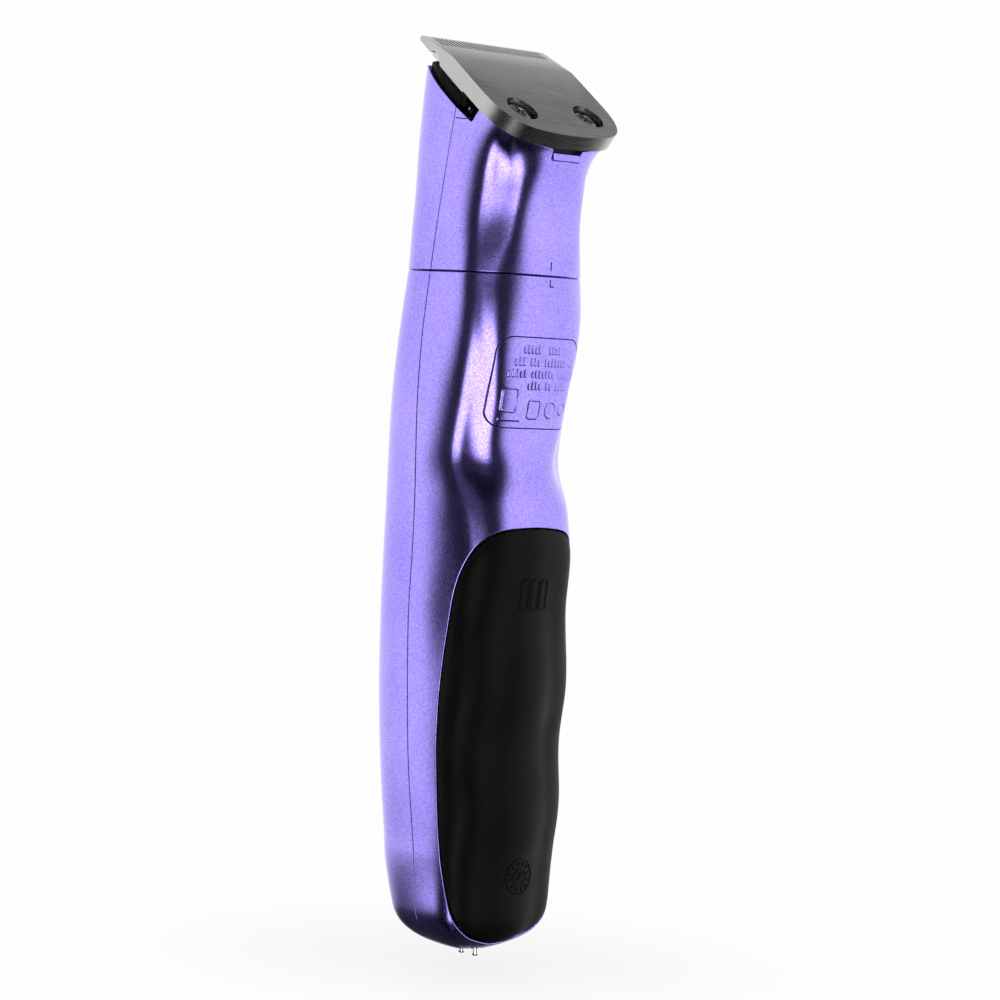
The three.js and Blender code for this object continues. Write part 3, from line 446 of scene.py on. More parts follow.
def moulded(name, color, rough=0.5, grain=2500, height=0.00002, spec=0.5, vary=0.12, coat=0.0, sheen=0.0):
    """Moulded plastic or rubber with a fine spark-eroded grain and slight mottling."""
    mat, nt, sh = nodes_of(name)
    v = coords(nt)
    fine, big = noise(nt, v, grain, 4, 0.6), noise(nt, v, 130, 3)
    c = np.array(color[:3])
    nt.links.new(ramp(nt, big, [(0.3, tuple(c * (1 - vary))), (0.7, tuple(np.minimum(c * (1 + vary) + 0.001, 1)))]), sh.inputs["Base Color"])
    nt.links.new(remap(nt, big, rough - 0.06, rough + 0.06), sh.inputs["Roughness"])
    nt.links.new(bump(nt, fine, height, 0.8), sh.inputs["Normal"])
    put(sh, Specular_IOR_Level=spec, Coat_Weight=coat, Coat_Roughness=0.2, Sheen_Weight=sheen, Sheen_Roughness=0.5)
    return mat


def metal(name, color, rough=0.35, stretch=(60, 3000, 3000), height=0.000004, vary=0.14, grain=0.5, aniso=0.0, spots=0.0):
    """Ground, drawn or plated metal. stretch sets the run of the fine scratches."""
    mat, nt, sh = nodes_of(name)
    v = coords(nt, stretch)
    lines = noise(nt, v, 1.0, 3, 0.65)
    big = noise(nt, coords(nt), 220, 3)
    c = np.array(color[:3])
    mixf = node(nt, "ShaderNodeMath", operation="MULTIPLY_ADD")
    nt.links.new(lines, mixf.inputs[0])
    mixf.inputs[1].default_value = grain
    sc = node(nt, "ShaderNodeMath", operation="MULTIPLY")
    nt.links.new(big, sc.inputs[0])
    sc.inputs[1].default_value = 1 - grain
    nt.links.new(sc.outputs[0], mixf.inputs[2])
    nt.links.new(ramp(nt, mixf.outputs[0], [(0.32, tuple(c * (1 - vary))), (0.68, tuple(np.minimum(c * (1 + vary), 1)))]), sh.inputs["Base Color"])
    nt.links.new(remap(nt, mixf.outputs[0], rough - 0.07, rough + 0.07), sh.inputs["Roughness"])
    nt.links.new(bump(nt, lines, height, 0.6), sh.inputs["Normal"])
    put(sh, Metallic=1.0, Anisotropic=aniso)
    return mat


PURPLE = lacquer()
# very dark purple for the beads and blocks laid where grooves and slots are: painted shade, not a colour of the lacquer
GROOVE_PAINTED_SHADE = moulded("purple_groove_painted_shade", (0.018, 0.012, 0.06), 0.6)
RUBBER = moulded("grip_rubber", (0.0030, 0.0030, 0.0033), 0.5, grain=5200, height=0.00002, spec=0.10, vary=0.25)
MARK = moulded("grip_mark_rubber", (0.0009, 0.0009, 0.001), 0.45, grain=5200, height=0.00001, spec=0.12)
BLACK = moulded("black_plastic", (0.010, 0.010, 0.011), 0.42, grain=3000, height=0.000012, spec=0.5)
# black plastic of the carrier, darker and duller than black_plastic: real black plastic plus painted shade for the
# shadowed gap under the blade
CARRIER_BLACK_AND_SHADE = moulded("carrier_plastic_and_painted_shade", (0.002, 0.002, 0.0022), 0.6, grain=3000, height=0.00002, spec=0.10)
BLACK_FINE = moulded("switch_plastic", (0.014, 0.014, 0.016), 0.48, grain=4200, height=0.00003, spec=0.5)
WHITE = moulded("white_plastic", (0.72, 0.70, 0.66), 0.42, grain=900, height=0.000008, spec=0.5, vary=0.03)
STEEL = metal("blade_steel", (0.41, 0.41, 0.40), 0.27, stretch=(90, 5200, 5200), height=0.000004, vary=0.16, grain=0.75)
CUTTER = metal("cutter_steel", (0.50, 0.50, 0.49), 0.3, stretch=(5200, 90, 90), height=0.000003)
SCREW = metal("screw_steel", (0.34, 0.34, 0.33), 0.24, stretch=(1500, 1500, 1500), height=0.000006, vary=0.2)
CHROME = metal("bright_steel", (0.72, 0.72, 0.72), 0.16, stretch=(900, 900, 120), height=0.000002, vary=0.06)
NICKEL = metal("nickel_plate", (0.80, 0.79, 0.77), 0.10, stretch=(1200, 1200, 200), height=0.000001, vary=0.05)
ZINC = metal("motor_steel", (0.55, 0.55, 0.55), 0.32, stretch=(1200, 1200, 200), height=0.000004)
MAGNET = moulded("sintered_magnet", (0.05, 0.05, 0.055), 0.5, grain=1800, height=0.00003)
COPPER = metal("enamelled_copper", (0.62, 0.24, 0.10), 0.28, stretch=(400, 400, 5200), height=0.00003, vary=0.25)
BRASS = metal("contact_brass", (0.70, 0.48, 0.18), 0.3, stretch=(1500, 1500, 150), height=0.000004)
SLEEVE = moulded("cell_sleeve", (0.03, 0.11, 0.34), 0.22, grain=700, height=0.00001, coat=0.4, vary=0.06)
BOARD = moulded("solder_mask", (0.012, 0.11, 0.035), 0.32, grain=1500, height=0.00001, coat=0.3, vary=0.15)
LED = moulded("led_body", (0.8, 0.78, 0.7), 0.3, grain=900, height=0.000006)
SEAL = moulded("seal_rubber", (0.02, 0.02, 0.02), 0.65, grain=3000)


def clear(name="lens_plastic"):
    mat, nt, sh = nodes_of(name)
    v = coords(nt)
    nt.links.new(remap(nt, noise(nt, v, 800, 2), 0.05, 0.12), sh.inputs["Roughness"])
    nt.links.new(ramp(nt, noise(nt, v, 300, 2), [(0.3, (0.62, 0.80, 0.66)), (0.7, (0.74, 0.88, 0.76))]), sh.inputs["Base Color"])
    put(sh, Transmission_Weight=0.55, IOR=1.49, Coat_Weight=0.5, Coat_Roughness=0.05)
    return mat


LENS = clear()

# ------------------------------------------------------------------ fields that divide the skin
SEAM = 122.745
GRIP_LINE = np.array([(5.2, -2.0), (5.6, 1.8), (6.3, 2.65), (6.96, 3.45), (7.6, 4.6), (7.92, 5.8), (7.75, 7.0), (7.35, 9.0), (6.7, 11.4), (5.48, 17.4), (4.7, 24.2), (4.0, 33.0), (3.48, 39.5), (3.53, 47.0), (4.0, 55.8), (4.72, 64.2), (5.22, 66.95), (6.2, 70.15), (7.2, 72.2), (8.46, 74.6), (9.4, 75.85), (10.25, 77.0), (10.9, 77.7), (11.5, 78.15), (14.0, 78.5)])


def polyline_distance(y, z, line, above):
    """Signed distance to a polyline in (y, z); negative on the side where above() is true."""
    best = np.full(np.shape(y), 1e9)
    for (y0, z0), (y1, z1) in zip(line[:-1], line[1:]):
        dy, dz = y1 - y0, z1 - z0
        u = np.clip(((y - y0) * dy + (z - z0) * dz) / (dy * dy + dz * dz), 0, 1)
        best = np.minimum(best, np.hypot(y - y0 - u * dy, z - z0 - u * dz))
    return np.where(above, -best, best)


def smooth_line(line, n=6):
    line = np.asarray(line, float)
    d = np.r_[0, np.cumsum(np.hypot(*np.diff(line, axis=0).T))]
    q = np.linspace(0, d[-1], len(line) * n)
    x, y = np.interp(q, d, line[:, 0]), np.interp(q, d, line[:, 1])
    k = 1.1 / (q[1] - q[0])
    xs, ys = soften(x, k), soften(y, k)
    xs[0], ys[0], xs[-1], ys[-1] = x[0], y[0], x[-1], y[-1]
    return np.stack([xs, ys], -1)


GRIP_FINE = smooth_line(GRIP_LINE)


def grip_field(P):
    """Negative inside the grip."""
    x, y, z = P[..., 0], P[..., 1], P[..., 2]
    g = np.interp(z, GRIP_FINE[:, 1], GRIP_FINE[:, 0])
    inside = (y > g) & (z < GRIP_FINE[-1, 1])
    return polyline_distance(y, z, GRIP_FINE, inside)


RIM = np.array([(-60.0, 159.5), ((BP[1] + (-6.6 - (159.5 - BP[2]) * math.sin(TILT)) / math.cos(TILT)), 159.5), yz(5.5, -6.55), yz(10.5, -6.3), yz(10.85, -3.08), yz(60, -3.08)])


def rim_field(P):
    """Negative below the head's rim."""
    y, z = P[..., 1], P[..., 2]
    line = np.interp(y, RIM[:, 0], RIM[:, 1])
    return polyline_distance(y, z, RIM, z < line)


def foot_hole(P):
    """Negative outside the pin block's opening."""
    x, y, z = P[..., 0], P[..., 1], P[..., 2]
    e = (1 - np.hypot(x / 2.2, y / 3.5)) * 2.4
    return np.where(z < 8, e, -9.0)


PANEL = (0.0, 103.7, 10.2, 8.1, 3.0)


def panel_field(P, T):
    """Negative inside the label panel."""
    d = sdf_box(P[..., 0], P[..., 2], *PANEL)
    ta = np.abs((T + 11) % 22 - 11)
    return np.where(ta > 6.6, d, 9.0)


def side_rate(s):
    return np.linalg.norm(surface(s, np.full_like(s, 4.05)) - surface(s, np.full_like(s, 3.95)), axis=-1) / 0.1


PART_R, PART_GAP = 0.09, 0.07


def grid(s_rows, back, ncols):
    """Parameter grid for the front (t -4..4) or the back (t 4..18) of the skin, held back from the parting line."""
    s = np.asarray(s_rows, float)
    back_off = np.minimum((PART_R + PART_GAP) / np.maximum(side_rate(s), 1e-3), 0.6)
    u = np.linspace(0, 1, ncols)[None, :]
    if back:
        lo, hi = 4 + back_off, 18 - back_off
    else:
        lo, hi = -4 + back_off, 4 - back_off
    T = lo[:, None] + (hi - lo)[:, None] * u
    S = np.repeat(s[:, None], ncols, 1)
    return S, T


STEP = 0.06
# the seam between handle and head: rounded arrises either side of a fine gap
SEAM_R, SEAM_GAP = 0.22, 0.07
top_s = s_of(SEAM - SEAM_GAP - SEAM_R)
rows = np.r_[np.arange(-Q0 + 0.12, top_s, STEP), top_s]
seam_near = lambda B: np.abs(B[:, 2] - SEAM) < 0.6


def edge_radius(B):
    r = np.full(len(B), PART_R)
    r[seam_near(B)] = SEAM_R
    return r


def edge_depth(B):
    d = np.full(len(B), 1.0)
    d[seam_near(B)] = 2.2
    return d


# ------------------------------------------------------------------ handle
SW_Z = 97.0


def front_height(P, t):
    """Shallow thumb track round the slide, and a dimple round the charge light."""
    x, z = P[..., 0], P[..., 2]
    front = P[..., 1] < -6
    d = sdf_box(x, z, 0, SW_Z + 2.0, 7.6, 12.2, 6.4)
    track = -0.55 * smooth01(-d / 1.6)
    ring = np.hypot(x, z - 76.0)
    dimple = -0.28 * smooth01((2.9 - ring) / 1.0)
    return np.where(front, track + dimple, 0.0)


lens_hole = lambda P: np.where(P[..., 1] < -6, 1.62 - np.hypot(P[..., 0], P[..., 2] - 76.0), -9.0)


def front_field(P, S, T):
    return np.maximum(foot_hole(P) + 0.1, lens_hole(P))


fine = np.r_[np.arange(-Q0 + 0.12, s_of(72), STEP), np.arange(s_of(72), s_of(112), STEP / 2), np.arange(s_of(112), top_s, STEP), top_s]
S, T = grid(fine, False, 121)
front = patch("front_shell", S, T, front_field, Skin(front_height), edge_radius, edge_depth)
finish_piece(front, "handle", "casing", PURPLE, "handle_front_shell")

GRIP_R = 0.26


def back_field(P, S, T):
    g = -grip_field(P) + 0.06 + GRIP_R          # keep outside the grip
    p = -panel_field(P, T) + 0.05 + 0.10
    return np.maximum(np.maximum(g, p), foot_hole(P) + 0.1)


def back_radius(B):
    r = edge_radius(B)
    g = np.abs(grip_field(B)) < 0.6
    r[g] = GRIP_R
    p = np.abs(sdf_box(B[:, 0], B[:, 2], *PANEL)) < 0.4
    p &= B[:, 1] > 5
    r[p] = 0.10
    return r


S, T = grid(np.r_[np.arange(-Q0 + 0.12, s_of(90), STEP), np.arange(s_of(90), s_of(114), STEP * 0.6), np.arange(s_of(114), top_s, STEP), top_s], True, 241)
back = patch("back_shell", S, T, back_field, None, back_radius, edge_depth)
finish_piece(back, "handle", "casing", PURPLE, "handle_back_shell")

# label panel: its own inset skin with plain raised bars
BARS = []


def row(z, x0, x1, gaps, h=0.55):
    """A row of small raised blocks from x0 down to x1, left out at the gaps."""
    n = int(round((x0 - x1) / 0.86))
    for k in range(n):
        if k not in gaps:
            tall = h if k % 3 else h * 0.78
            BARS.append((x0 - 0.43 - 0.86 * k, z - (h - tall), 0.31, tall, 0))


row(109.7, 5.0, -4.8, (5, 6), 0.72)
row(107.5, 6.6, -9.0, (3, 7, 15), 0.72)
row(105.4, 7.8, -9.0, (5, 13), 0.72)
row(103.3, 3.2, -7.0, (4, 7), 0.72)
BARS += [(6.5, 100.6, 1.7, 2.2, 1), (6.0, 97.1, 2.2, 0.22, 0), (0.9, 99.1, 1.55, 1.75, 1), (-3.4, 99.1, 1.55, 1.55, 2), (-6.9, 99.3, 1.2, 1.2, 2)]


def panel_height(P, t):
    x, z = P[..., 0], P[..., 2]
    h = np.zeros_like(x)
    for cx, cz, hx, hz, kind in BARS:
        d = np.hypot(x - cx, z - cz) - hx if kind == 2 else sdf_box(x, z, cx, cz, hx, hz, min(hx, hz) * 0.45)
        if kind:      # open frames and rings
            d = np.abs(d + 0.15) - 0.15
        h = np.maximum(h, 0.11 * smooth01((0.06 - d) / 0.14))
    return h - 0.04


ps = np.arange(s_of(95.0), s_of(112.6), 0.014)
pt = np.arange(8.0, 14.0, 0.03)
S, T = np.meshgrid(ps, pt, indexing="ij")
panel = patch("label_panel", S, T, lambda P, S, T: panel_field(P, T) + 0.05 + 0.10, Skin(panel_height, 0.008, 0.018), 0.10, 0.9)
finish_piece(panel, "handle", "casing", PURPLE)

# rubber grip
S, T = grid(np.r_[np.arange(-Q0 + 0.5, s_of(66), STEP), np.arange(s_of(66), s_of(80), STEP / 2)], True, 281)


def grip_height(P, t):
    d = -grip_field(P)
    return 0.10 * smooth01((d - 0.3) / 1.2)


grip = patch("grip_skin", S, T, lambda P, S, T: grip_field(P) + 0.06 + 0.30, Skin(grip_height), 0.30, 1.0)
finish_piece(grip, "handle", "grip_rubber", RUBBER, "rubber_grip")


# ------------------------------------------------------------------ fine lines and marks on the back
def back_st(x, z):
    """Parameters of the skin's back at width x and height z, mm."""
    s = s_of(z)
    t = np.linspace(6.5, 15.5, 181)
    xs = surface(np.full_like(t, s), t)[:, 0]
    o = np.argsort(xs)
    return s, float(np.interp(x, xs[o], t[o]))


def side_st(y, z):
    s = s_of(z)
    t = np.linspace(2.0, 8.0, 121)
    ys = surface(np.full_like(t, s), t)[:, 1]
    return s, float(np.interp(y, ys, t))


def strand(name, st, radius, lift=0.0, closed=False, sides=8):
    """A fine round bead that follows the skin through the parameters st, its centre lift mm above it."""
    st = np.array(st, float)
    P, Nn = surface(st[:, 0], st[:, 1]), skin_normal(st[:, 0], st[:, 1])
    C = P + Nn * lift
    n = len(C)
    nxt, prv = (np.roll(C, -1, 0), np.roll(C, 1, 0)) if closed else (np.vstack([C[1:], C[-1:]]), np.vstack([C[:1], C[:-1]]))
    D = unit(nxt - prv)
    side = unit(np.cross(D, Nn))
    verts, norms, faces = [], [], []
    for i in range(n):
        for k in range(sides):
            f = 2 * math.pi * k / sides
            d = side[i] * math.cos(f) + Nn[i] * math.sin(f)
            verts.append(C[i] + d * radius)
            norms.append(d)
    for i in range(n if closed else n - 1):
        j = (i + 1) % n
        for k in range(sides):
            l = (k + 1) % sides
            faces.append([i * sides + k, i * sides + l, j * sides + l, j * sides + k])
    if not closed:
        faces.append([k for k in range(sides)])
        faces.append([(n - 1) * sides + k for k in reversed(range(sides))])
    return mesh_object(name, verts, faces, None)


def joined(name, obs):
    """One object from several."""
    bm = bmesh.new()
    for o in obs:
        me = o.data
        bm.from_mesh(me)
    me = bpy.data.meshes.new(name)
    bm.normal_update()
    bm.to_mesh(me)
    bm.free()
    for o in obs:
        bpy.data.objects.remove(o)
    me.polygons.foreach_set("use_smooth", [True] * len(me.polygons))
    ob = bpy.data.objects.new(name, me)
    scene.collection.objects.link(ob)
    return ob


def back_path(points, step=0.25):
    pts = []
    for (x0, z0), (x1, z1) in zip(points[:-1], points[1:]):
        n = max(2, int(math.hypot(x1 - x0, z1 - z0) / step))
        pts += [back_st(x0 + (x1 - x0) * k / n, z0 + (z1 - z0) * k / n) for k in range(n)]
    pts.append(back_st(*points[-1]))
    return pts


# alignment mark either side of the seam: dark beads, painted shade of a fine groove
mark_head = strand("mark_line_head", back_path([(0, 123.75), (0, 125.3)]), 0.13, -0.03)
finish_piece(mark_head, "head", "casing", GROOVE_PAINTED_SHADE)
mark_handle = joined("mark_line_handle", [
    strand("m1", back_path([(0.0, 122.2), (0, 120.9)]), 0.13, -0.03),
    strand("m2", back_path([(0.0, 120.9), (-0.8, 120.9)]), 0.13, -0.03)])
finish_piece(mark_handle, "handle", "casing", GROOVE_PAINTED_SHADE)

# grip marks: a plain bar emblem, and a mould dial with ticks
marks = []
for x0, z0, x1, z1 in [(3.1, 63.4, 3.1, 69.0), (3.1, 69.0, 1.3, 69.0), (3.1, 66.2, 1.5, 66.2), (3.1, 63.4, 1.3, 63.4),
                       (0.2, 63.4, 0.2, 69.0), (-1.1, 63.4, -1.1, 69.0), (-2.6, 69.0, -2.6, 63.4)]:
    pass
for i, (x, z, w, h) in enumerate([(2.2, 66.2, 0.85, 2.7), (-0.1, 66.2, 0.85, 2.7), (-2.4, 66.2, 0.85, 2.7)]):
    loop = []
    r = 0.45
    for cx, cz, a0 in [(x + w - r, z + h - r, 0), (x - w + r, z + h - r, 90), (x - w + r, z - h + r, 180), (x + w - r, z - h + r, 270)]:
        for k in range(5):
            f = math.radians(a0 + 22.5 * k)
            loop.append((cx + r * math.cos(f), cz + r * math.sin(f)))
    fine_loop = []
    for (xa, za), (xb, zb) in zip(loop, loop[1:] + loop[:1]):
        n = max(1, int(math.hypot(xb - xa, zb - za) / 0.3))
        fine_loop += [(xa + (xb - xa) * k / n, za + (zb - za) * k / n) for k in range(n)]
    marks.append(strand(f"em{i}", [back_st(*p) for p in fine_loop], 0.17, 0.10, closed=True))
DX, DZ = -0.5, 15.7
for i, (r, rad) in enumerate([(3.15, 0.17), (1.45, 0.15)]):
    marks.append(strand(f"dl{i}", [back_st(DX + r * math.cos(f), DZ + r * math.sin(f)) for f in np.linspace(0, 2 * math.pi, 64, endpoint=False)], rad, 0.08, closed=True))
for k in range(12):
    f = 2 * math.pi * (k + 0.5) / 12
    marks.append(strand(f"tk{k}", [back_st(DX + r * math.cos(f), DZ + r * math.sin(f)) for r in (2.05, 2.3, 2.6)], 0.24, 0.05))
marks.append(strand("ar0", back_path([(DX + 0.6, DZ - 0.7), (DX - 0.6, DZ + 0.7)]), 0.26, 0.06))
marks.append(strand("ar1", back_path([(DX - 0.6, DZ + 0.7), (DX + 0.25, DZ + 0.65)]), 0.2, 0.06))
marks.append(strand("ar2", back_path([(DX - 0.6, DZ + 0.7), (DX - 0.55, DZ - 0.1)]), 0.2, 0.06))
grip_marks = joined("grip_marks", marks)
finish_piece(grip_marks, "handle", "grip_rubber", MARK)

# ------------------------------------------------------------------ head
head_rows = np.arange(s_of(SEAM + SEAM_GAP + SEAM_R), s_of(164.0), STEP * 0.7)
RIM_R = 0.17


def head_radius(B):
    r = edge_radius(B)
    r[np.abs(rim_field(B)) < 0.7] = RIM_R
    n = notch(B)
    r[np.abs(n) < 0.35] = 0.14
    return r


def notch(P):
    """Negative outside the comb catch at the back."""
    d = -sdf_box(P[..., 0], P[..., 2], 0, 144.35, 3.55, 1.25, 0.25)
    return np.where(P[..., 1] > 8, d, -9.0)


def head_depth(B):
    d = edge_depth(B)
    d[np.abs(rim_field(B)) < 0.7] = 1.7
    d[np.abs(notch(B)) < 0.35] = 1.6
    return d


S, T = grid(head_rows, False, 121)
head_front = patch("head_front", S, T, lambda P, S, T: rim_field(P) + RIM_R + 0.02, None, head_radius, head_depth)
finish_piece(head_front, "head", "casing", PURPLE, "head_front_shell")
S, T = grid(head_rows, True, 281)
head_back = patch("head_back", S, T, lambda P, S, T: np.maximum(rim_field(P) + RIM_R + 0.02, notch(P) + 0.16), None, head_radius, head_depth)
finish_piece(head_back, "head", "casing", PURPLE, "head_back_shell")

# black skirt of the blade carrier, just inside the casing under the blade's flanks; black plastic made near-black and
# dull, darker than the other black plastic, as painted shade in the gap
def skirt_field(P, S, T):
    y, z = P[..., 1], P[..., 2]
    u = (y - BP[1]) * math.sin(TILT) - (z - BP[2]) * math.cos(TILT)
    v = (y - BP[1]) * math.cos(TILT) + (z - BP[2]) * math.sin(TILT)
    return np.maximum(np.maximum(-rim_field(P) - 1.4, v + 4.85), np.maximum(z - 159.95, u - 5.4))


ss_ = np.arange(s_of(150.0), s_of(161.5), 0.03)
tt_ = np.arange(-6.5, 6.5, 0.05)
S, T = np.meshgrid(ss_, tt_, indexing="ij")
skirt = patch("carrier_skirt", S, T, skirt_field, Skin(lambda P, t: np.full(P.shape[:-1], -0.75)), 0.15, 0.8)
finish_piece(skirt, "head", "black_plastic", CARRIER_BLACK_AND_SHADE)

# scribed line on each flank from the parting line to the corner of the rim: a dark bead, painted shade of the groove
lines = []
for sg in (1, -1):
    st = []
    for k in range(15):
        y = -0.1 + 3.5 * k / 14
        z = 149.75 - 0.1 * math.sin(math.pi * k / 14) - 0.012 * k
        s, t = side_st(y, z)
        st.append((s, sg * t))
    lines.append(strand(f"scribe{sg}", st, 0.10, -0.02))
scribe = joined("flank_lines", lines)
finish_piece(scribe, "head", "casing", GROOVE_PAINTED_SHADE)


def step_x(y, z):
    s, t = side_st(y, z)
    return float(surface(s, t)[0])


def prism(name, outline, x0, x1, bevel=0.1):
    """Solid with outline (y, z), mm, between x0 and x1, with rounded arrises."""
    n = len(outline)
    v = [(x0, y, z) for y, z in outline] + [(x1, y, z) for y, z in outline]
    f = [list(range(n)), list(range(2 * n - 1, n - 1, -1))] + [[i, i + n, (i + 1) % n + n, (i + 1) % n] for i in range(n)]
    ob = mesh_object(name, v, f, None, smooth=False)
    bm = bmesh.new()
    bm.from_mesh(ob.data)
    bmesh.ops.recalc_face_normals(bm, faces=bm.faces)
    bm.to_mesh(ob.data)
    bm.free()
    soften_edges(ob, bevel)
    return ob


def soften_edges(ob, width, angle=30, segments=3):
    b = ob.modifiers.new("arris", "BEVEL")
    b.width = width * MM
    b.segments = segments
    b.limit_method = "ANGLE"
    b.angle_limit = math.radians(angle)
    b.harden_normals = True
    ob.data.polygons.foreach_set("use_smooth", [True] * len(ob.data.polygons))
    return ob


ledge = prism("comb_ledge", [(13.78, 142.95), (13.92, 143.2), (13.72, 144.35), (13.2, 144.5), (12.3, 144.5), (12.3, 142.95)], -3.4, 3.4, 0.12)
finish_piece(ledge, "head", "casing", PURPLE)
# dark block in the slot above the comb ledge: painted shade
pocket = prism("comb_pocket_painted_shade", [(12.45, 142.9), (12.45, 146.0), (11.9, 146.0), (11.9, 142.9)], -4.2, 4.2, 0.05)
finish_piece(pocket, "head", "casing", GROOVE_PAINTED_SHADE)

# ------------------------------------------------------------------ blade set
def evaluated(ob):
    """The object's mesh with its modifiers applied."""
    dg = bpy.context.evaluated_depsgraph_get()
    dg.update()
    me = bpy.data.meshes.new_from_object(ob.evaluated_get(dg))
    ob.modifiers.clear()
    ob.data = me
    return ob


def boolean(ob, cutter, op="DIFFERENCE"):
    mod = ob.modifiers.new("cut", "BOOLEAN")
    mod.operation = op
    mod.solver = "EXACT"
    mod.object = cutter
    evaluated(ob)
    bpy.data.objects.remove(cutter)
    return ob


def blade_prism(name, outline, h0, h1, taper=None):
    """Solid from an outline in (x, s) between h0 and h1 in the blade's frame."""
    o = np.array(outline, float)
    area = 0.5 * np.sum(o[:, 0] * np.roll(o[:, 1], -1) - np.roll(o[:, 0], -1) * o[:, 1])
    if area < 0:
        o = o[::-1]
    t = o if taper is None else np.array(taper, float)[::1 if area > 0 else -1]
    n = len(o)
    lo, hi = blade_point(t[:, 0], t[:, 1], h0), blade_point(o[:, 0], o[:, 1], h1)
    v = np.vstack([lo, hi])
    f = [list(range(n))[::-1], list(range(n, 2 * n))] + [[i, (i + 1) % n, (i + 1) % n + n, i + n] for i in range(n)]
    return mesh_object(name, v, f, None, smooth=False)


def arc(cx, cs, r, n=40):
    return [(cx + r * math.cos(2 * math.pi * k / n), cs + r * math.sin(2 * math.pi * k / n)) for k in range(n)]


half_outline = [(0, 21.2), (2.0, 21.18), (4.0, 21.08), (6.0, 20.88), (8.0, 20.56), (9.6, 20.16), (10.9, 19.65), (12.0, 18.98), (12.95, 18.15), (13.75, 17.1), (14.4, 15.85), (14.9, 14.4), (15.18, 12.8), (15.3, 11.2), (15.32, 9.8)]
ho = np.array(half_outline)
d = np.r_[0, np.cumsum(np.hypot(*np.diff(ho, axis=0).T))]
q = np.linspace(0, d[-1], 56)
hx = soften(np.interp(q, d, ho[:, 0]), 1.6)
hs = soften(np.interp(q, d, ho[:, 1]), 1.6)
hx[0] = 0
plate_outline = [(x, s) for x, s in zip(hx, hs)] + [(15.3, 6.0), (15.2, 0.0), (15.1, -9.6), (-15.1, -9.6), (-15.2, 0.0), (-15.3, 6.0)] + [(-x, s) for x, s in zip(hx[::-1], hs[::-1])][:-1]
blade = blade_prism("fixed_blade_steel", plate_outline, -5.0, 1.2)
arch = [(-4.72, -2.34), (-4.55, -2.16), (-4.2, -2.07), (-3.6, -2.04), (-3.0, -2.07), (-2.55, -2.2), (-2.2, -2.45), (-1.95, -2.75), (-1.7, -3.02)]
profile = [(24, 0), (0, 0), (-8.15, -1.60), (-8.55, -1.74), (-8.86, -1.98), (-8.96, -2.25), (-8.86, -2.55), (-8.55, -2.80), (-5.15, -2.82), (-4.95, -2.6)] + arch + [(-1.4, -3.2), (6.2, -3.2), (6.35, -2.95), (24, -2.95)]
prof = prism("prof", [yz(s, h) for s, h in profile], -16, 16, 0)
prof.modifiers.clear()
boolean(blade, prof, "INTERSECT")
cuts = []
PITCH, GAPS = 1.0, 27
for i in range(GAPS):
    x = (i - (GAPS - 1) / 2) * PITCH
    cuts.append(blade_prism(f"g{i}", [(x - 0.22, -12), (x + 0.22, -12), (x + 0.22, -5.3), (x + 0.11, -4.85), (x - 0.11, -4.85), (x - 0.22, -5.3)], -6, 2))
SX, SS = 8.38, 14.19
for i, x in enumerate((SX, -SX)):
    cuts.append(blade_prism(f"c{i}", arc(x, SS, 3.12, 56), -1.95, 2))
cutter_ob = joined("cuts", cuts)
boolean(blade, cutter_ob)
bm = bmesh.new()
bm.from_mesh(blade.data)
bmesh.ops.triangulate(bm, faces=[f for f in bm.faces if len(f.verts) > 4], ngon_method="BEAUTY")
bm.to_mesh(blade.data)
bm.free()
soften_edges(blade, 0.14, angle=24, segments=2)
finish_piece(blade, "head", "blade_steel", STEEL, "fixed_blade")


def lathe_blade(name, profile_rh, cx, cs, n=56):
    """Solid of revolution about a line along h at (cx, cs); profile is (r, h) from the top centre to the bottom centre."""
    v, f = [], []
    k = len(profile_rh)
    for j in range(n):
        a = 2 * math.pi * j / n
        for r, h in profile_rh[1:-1]:
            v.append(blade_point(cx + r * math.cos(a), cs + r * math.sin(a), h))
    v = [np.asarray(p) for p in v]
    top, bot = len(v), len(v) + 1
    v.append(blade_point(cx, cs, profile_rh[0][1]))
    v.append(blade_point(cx, cs, profile_rh[-1][1]))
    c = k - 2
    for j in range(n):
        l = (j + 1) % n
        f.append([top, j * c, l * c])
        for i in range(c - 1):
            f.append([j * c + i, j * c + i + 1, l * c + i + 1, l * c + i])
        f.append([bot, l * c + c - 1, j * c + c - 1])
    ob = mesh_object(name, np.array(v), f, None)
    bm = bmesh.new()
    bm.from_mesh(ob.data)
    bmesh.ops.recalc_face_normals(bm, faces=bm.faces)
    bm.to_mesh(ob.data)
    bm.free()
    return ob


for side, x, turn in (("left", SX, 24), ("right", -SX, 38)):
    head_profile = [(0, -0.62), (0.7, -0.63), (1.4, -0.69), (1.95, -0.80), (2.35, -0.96), (2.62, -1.16), (2.75, -1.38), (2.78, -1.6), (2.76, -1.8), (1.42, -1.8), (1.42, -7.6), (0, -7.6)]
    sc = lathe_blade(f"blade_screw_{side}_head", head_profile, x, SS)
    parts = []
    for k in range(2):
        f = math.radians(turn + 90 * k)
        ca, sa = math.cos(f), math.sin(f)
        def bar(L, W):
            return [(x + px * ca - py * sa, SS + px * sa + py * ca) for px, py in [(-L, -W), (L, -W), (L, W), (-L, W)]]
        parts.append(blade_prism(f"x{k}", bar(1.75, 0.36), -1.62, 0.5, bar(0.65, 0.24)))
    parts.append(blade_prism("x2", arc(x, SS, 0.75, 20), -1.55, 0.5, arc(x, SS, 0.35, 20)))
    for p in parts:
        boolean(sc, p)
    soften_edges(sc, 0.07, angle=32, segments=2)
    finish_piece(sc, "head", "screw_steel", SCREW, f"blade_screw_{side}")

